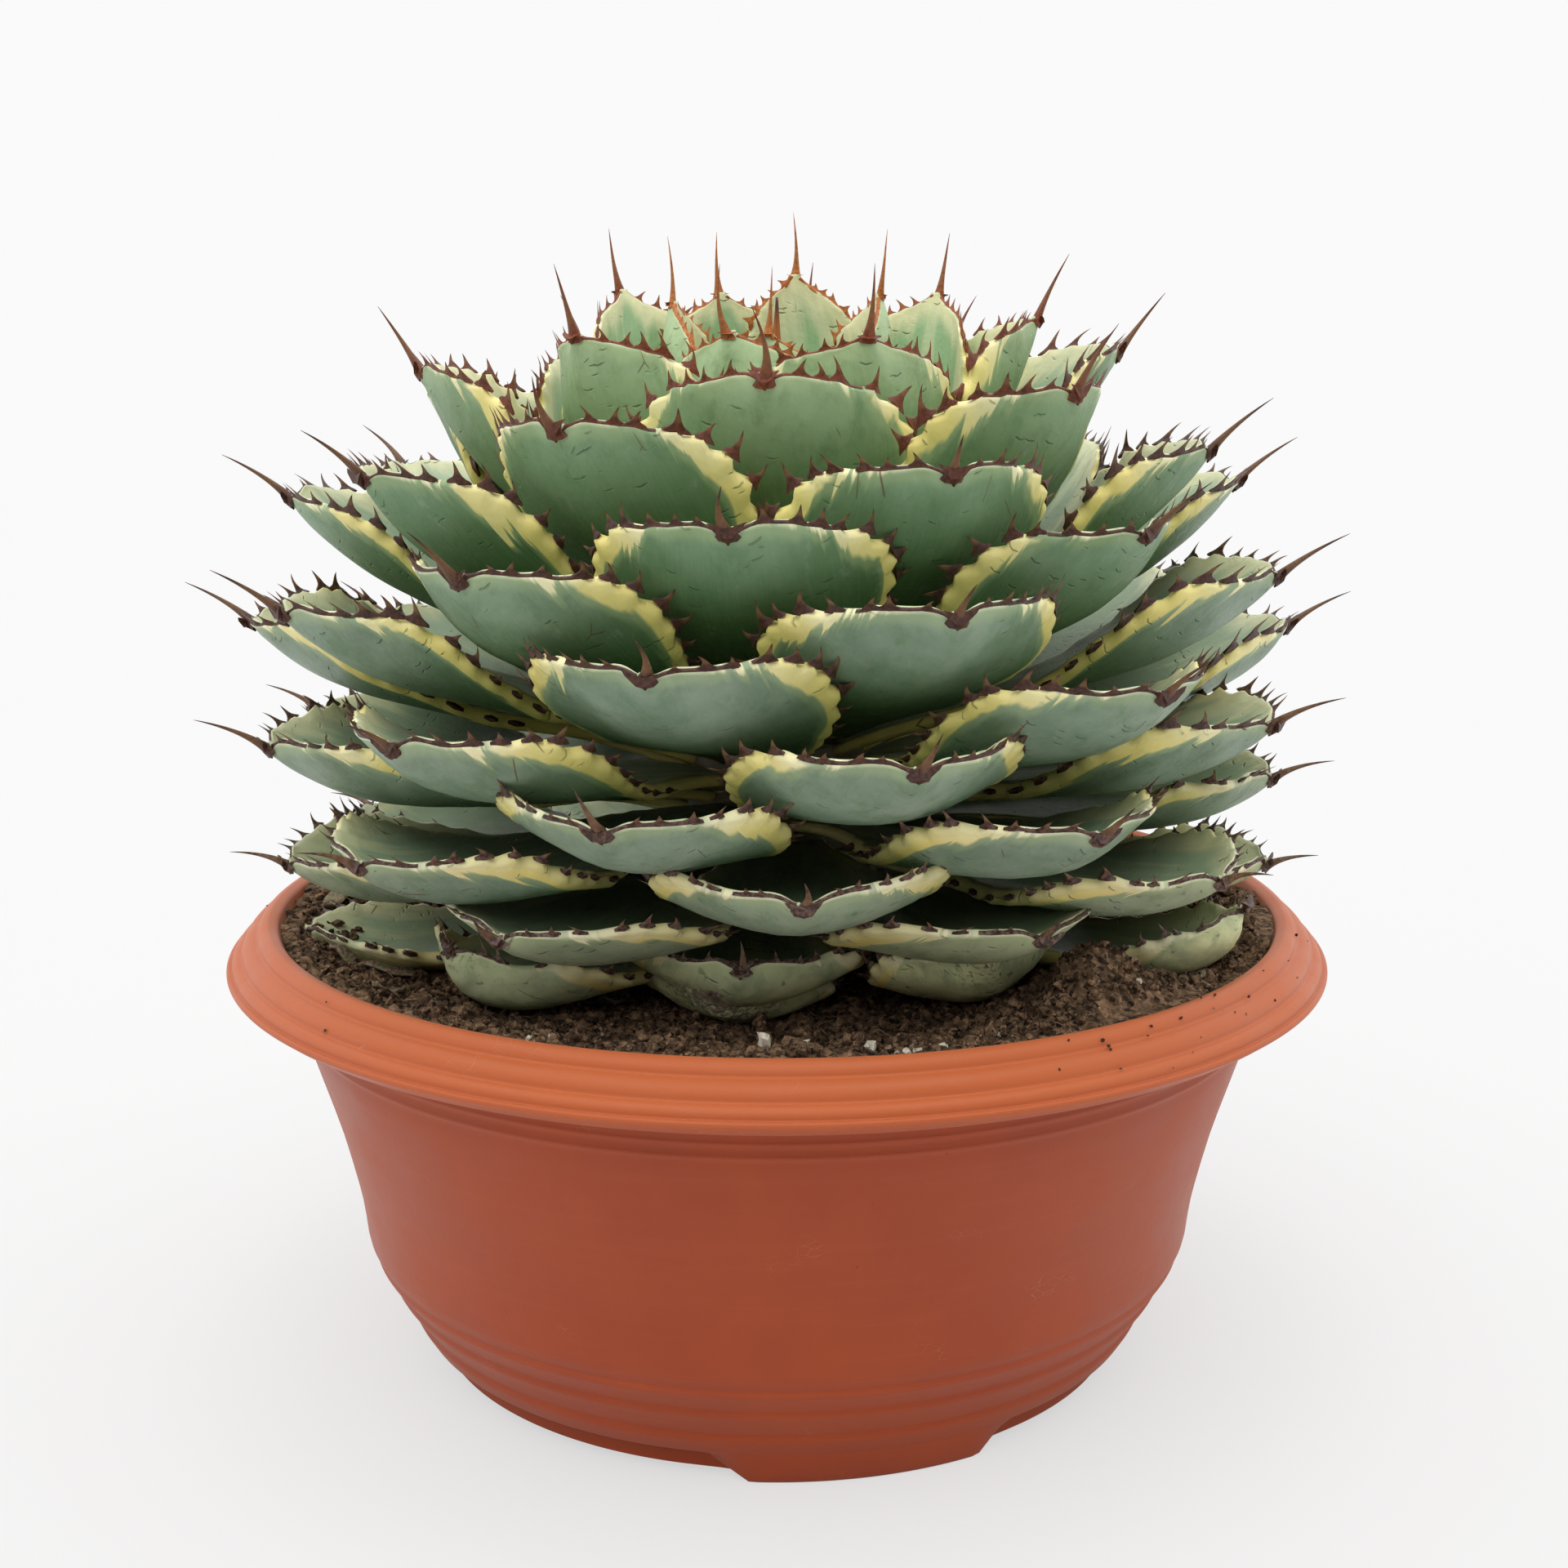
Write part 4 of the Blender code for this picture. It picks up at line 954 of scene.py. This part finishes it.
    # Hairline scratches, healed brown
    scratch = finish.cells(finish.stretch(flat, (0.05, 0.03, 1.0)), 1.0, "DISTANCE_TO_EDGE")
    scratched = scratch.step(0.0, 0.009, 1.0, 0.0) * finish.noise(flat, 0.06, 1.0).step(0.62, 0.66)
    colour = finish.mix(scratched * 0.85, colour, (0.12, 0.045, 0.025))
    # Dried ends
    dry = (ruin + (fine - 0.5) * 0.9).step(0.35, 0.6)
    husk = finish.mix(fine, (0.17, 0.115, 0.07), (0.3, 0.25, 0.19))
    colour = finish.mix(dry, colour, husk)
    finish.bumps((clouds, 0.6), (rubbed, 0.45), (lines, 0.07), (dash, -0.35), (dry * fine, 0.8))
    return finish.wear(colour, fine.step(0.3, 0.7, 0.42, 0.56))


leaf_finish = leaf_skin()
leaves = [Leaf(rank) for rank in range(LAST_RANK + 1) if rank not in FALLEN]
for leaf in leaves:
    leaf.grow_teeth()
    add_piece(f"blade_{leaf.rank:02d}", [blade_skin(leaf)], leaf_finish, [leaf.node])


# ---- Horn
# Brown horn that the leaf itself grows: an end spine on a keel, a scalloped strip that runs from it
# round the upper margins, and hooked teeth on pads that grip the rounded edge.

STRIP_STEP = 1.15  # mm between the strip's rings
TOOTH_HEIGHTS = ((0, 10, 40, 80, 120), (2.7, 3.8, 4.7, 3.0, 2.0))  # mm down from the tip, mm high
TOOTH_HOOKS = [-0.35, 0.15, 0.4, 0.6]  # shares of the height by which a claw leans towards the tip
# A tooth's rings: shares of its height, half length and half thickness, and mm further out
TOOTH = [(0, 1.35, 1.15, -0.3), (0, 1.08, 0.8, 0.15), (0.07, 0.78, 0.60, 0.2), (0.20, 0.50, 0.44, 0.2),
         (0.40, 0.31, 0.30, 0.2), (0.62, 0.20, 0.20, 0.2), (0.83, 0.11, 0.11, 0.2), (1.0, 0.015, 0.015, 0.2)]


def on_margin(leaf, side, down, along, out, lift):
    """Points near a margin: down mm from the tip, then along it towards the tip, outwards and up."""
    s = leaf.share_below(np.broadcast_to(down, np.broadcast_shapes(*map(np.shape, (down, along, out)))))
    x, half = np.interp(s, leaf.s, leaf.x), np.interp(s, leaf.s, leaf.half)
    pace_x = np.interp(s, leaf.s, np.gradient(leaf.x))
    pace_t = np.interp(s, leaf.s, np.gradient(leaf.half))
    size = np.hypot(pace_x, pace_t)
    pace_x, pace_t = pace_x / size, pace_t / size
    radius = leaf.edge(s) / 2
    x = x + along * pace_x - out * pace_t
    t = half + leaf.teats(side, down) + along * pace_t + out * pace_x
    s, t = leaf.share_at(x), side * t
    return leaf.place(s, t, radius - lift + leaf.relief(np.clip(s, 0, 1), t))


def teeth(leaf, side):
    """Eight rings of six points. The first two make a flat lens that lies on the rounded edge, and the
    rest a claw: half length and half thickness fall faster than the height rises, so its flanks are
    hollow, and it bends along the margin by the square of its height."""
    down = leaf.teeth[side]
    count = len(down)
    climb, long, thick, further = np.array(TOOTH).T
    height = np.interp(down, *TOOTH_HEIGHTS) * leaf.random.uniform(0.65, 1.25, count) * min(1.0, 0.5 + 4 * leaf.age)
    height = height * np.interp(leaf.rank, (50, 75), (1, 0.7))
    base = (1.35 + 0.22 * height) * leaf.random.uniform(0.85, 1.2, count) * np.interp(leaf.rank, (45, 70), (1, 0.72))
    hook = leaf.random.choice(TOOTH_HOOKS, count) * height
    radius = leaf.edge(leaf.share_below(down))[:, None] / 2
    thick = np.minimum(0.55 * radius, 0.8) * thick
    out = climb * height[:, None] - (radius - np.sqrt(np.maximum(radius ** 2 - thick ** 2, 0))) + further
    half = base[:, None] * long
    angle = circle(6)
    along = half[..., None] * np.sin(side * angle) + (hook[:, None] * climb ** 2)[..., None]
    lift = thick[..., None] * np.cos(angle)
    points = on_margin(leaf, side, down[:, None, None], along, out[..., None] + 0 * along, lift)
    return tubes(points, along=climb[:, None], age=leaf.age)


def strip(leaf, side):
    """The horn round the margin: a rounded band 0.45 + 1.2 exp(-(d / 1.9)^2) mm wide at d mm from a tooth,
    and wide near the tip. On a thick margin it keeps to the outer corner."""
    end = min(0.26 * leaf.margin, np.interp(leaf.rank, (40, 60), (26, 17)) * leaf.random.uniform(0.8, 1.15))
    down = np.arange(end, 0.3, -STRIP_STEP)[:, None]
    swell = np.max(np.exp(-((down - leaf.teeth[side]) / 1.9) ** 2), axis=1, keepdims=True)
    swell = np.maximum(swell, np.clip(1 - down / 5, 0, 1))
    width = (0.45 + 1.2 * swell) * np.clip((end - down) / 6 + 0.1, 0, 1)
    radius = leaf.edge(leaf.share_below(down)) / 2
    thick = np.minimum(radius, 0.32 + 0.22 * swell) + 0.15
    angle = circle(7)
    cos, sin = np.cos(angle), side * np.sin(angle)
    shift = -np.maximum(radius - 0.55, 0) * 0.3
    drop = radius - np.sqrt(radius ** 2 - shift ** 2)
    out = 0.2 - width / 2 + (width / 2) * np.sign(cos) * np.abs(cos) ** 0.8 - drop
    lift = thick * np.sign(sin) * np.abs(sin) ** 0.7 + shift
    points = on_margin(leaf, side, down, 0 * out, out, lift)
    return tubes(points, along=0.12, age=leaf.age)


def keel(leaf):
    """The wedge of horn below the end spine, on the lower face: half width 0.3 + 3.9 f^1.5."""
    f = np.linspace(0, 1, 9)[:, None]
    angle = circle(10)
    size = min(1.0, 0.5 + 2.5 * leaf.age)
    x = leaf.length - 3.2 * size * (1 - f) + 0.8
    s = np.minimum(leaf.share_at(x), 1)
    t = (0.3 + 3.9 * size * f ** 1.5) * np.cos(angle)
    depth = leaf.thickness(s) + leaf.relief(s, t) - (0.25 + 0.7 * f) * np.sin(angle) - 0.1
    return tubes(leaf.place(s + 0 * t, t, depth), along=0.1 + 0.1 * f, age=leaf.age)


def end_spine(leaf):
    """The spine: rings of eight along a quadratic Bezier curve from the blade's tip to its point, half
    width 1.8 (1 - f)^5 + 1.1 (1 - f)^0.9 mm, so that a slender needle stands on a broad foot."""
    f = np.linspace(0, 1, 14)[:, None] ** 1.15
    rise = np.array([math.cos(leaf.tip_rise), math.sin(leaf.tip_rise)])
    start = leaf.tip - 1.6 * rise
    end = leaf.tip + leaf.spine_length * np.array([math.cos(leaf.spine_rise), math.sin(leaf.spine_rise)])
    handle = start + 0.45 * leaf.spine_length * rise
    path = (1 - f) ** 2 * start + 2 * f * (1 - f) * handle + f ** 2 * end
    slope = (1 - f) * (handle - start) + f * (end - handle)
    slope = slope / np.linalg.norm(slope, axis=1, keepdims=True)
    size = min(1.0, 0.65 + 2 * leaf.age)
    wide = size * (1.8 * (1 - f) ** 5 + 1.1 * (1 - f) ** 0.9 + 0.05)
    thick = size * (0.7 * (1 - f) ** 4 + 0.95 * (1 - f) ** 0.9 + 0.05)
    angle = circle(8)
    sway = leaf.random.normal(0, 0.9) * np.sin(math.pi * f) + leaf.random.normal(0, 0.8) * f ** 2
    sideways = wide * np.cos(angle) + sway
    upwards = thick * np.sin(angle) - leaf.thickness(1.0) * 0.6 * (1 - f) ** 2
    points = turned(path[:, :1] - slope[:, 1:] * upwards, path[:, 1:] + slope[:, :1] * upwards,
                    leaf.bearing + leaf.lean, sideways)
    return tubes(points, along=0.15 + 0.85 * f, age=leaf.age)


def horn():
    """Hard brown horn, orange on the youngest leaves, with a paler middle and worn grey points."""
    finish = Finish("horn", 0.5, 0.3)
    along, age = finish.value("along"), finish.value("age")
    fine = finish.noise(finish.place(), 0.9, 3.0, 0.6)
    dark = finish.mix(fine.step(0.3, 0.7), (0.032, 0.013, 0.01), (0.095, 0.036, 0.022))
    ripe = finish.mix(fine.step(0.3, 0.7), (0.13, 0.028, 0.012), (0.26, 0.06, 0.02))
    fresh = finish.mix(fine.step(0.3, 0.7), (0.34, 0.08, 0.018), (0.58, 0.21, 0.05))
    colour = finish.mix(age.step(0.06, 0.3, 1.0, 0.0), dark, ripe)
    colour = finish.mix(age.step(0.03, 0.09, 1.0, 0.0), colour, fresh)
    middle = along.step(0.2, 0.5) * along.step(0.6, 0.9, 1.0, 0.0)
    colour = finish.mix(middle * 0.4, colour, (0.3, 0.16, 0.07))
    grey = age.step(0.45, 0.9) * fine.step(0.4, 0.65)
    colour = finish.mix(grey * 0.5, colour, (0.26, 0.22, 0.18))
    finish.bumps((fine, 0.2))
    return finish.wear(colour, fine.step(0.3, 0.7, 0.4, 0.55))


horn_finish = horn()
for leaf in leaves:
    parts = [teeth(leaf, 1), teeth(leaf, -1), strip(leaf, 1), strip(leaf, -1), keel(leaf), end_spine(leaf)]
    add_piece(f"horn_{leaf.rank:02d}", parts, horn_finish, sharp=70)
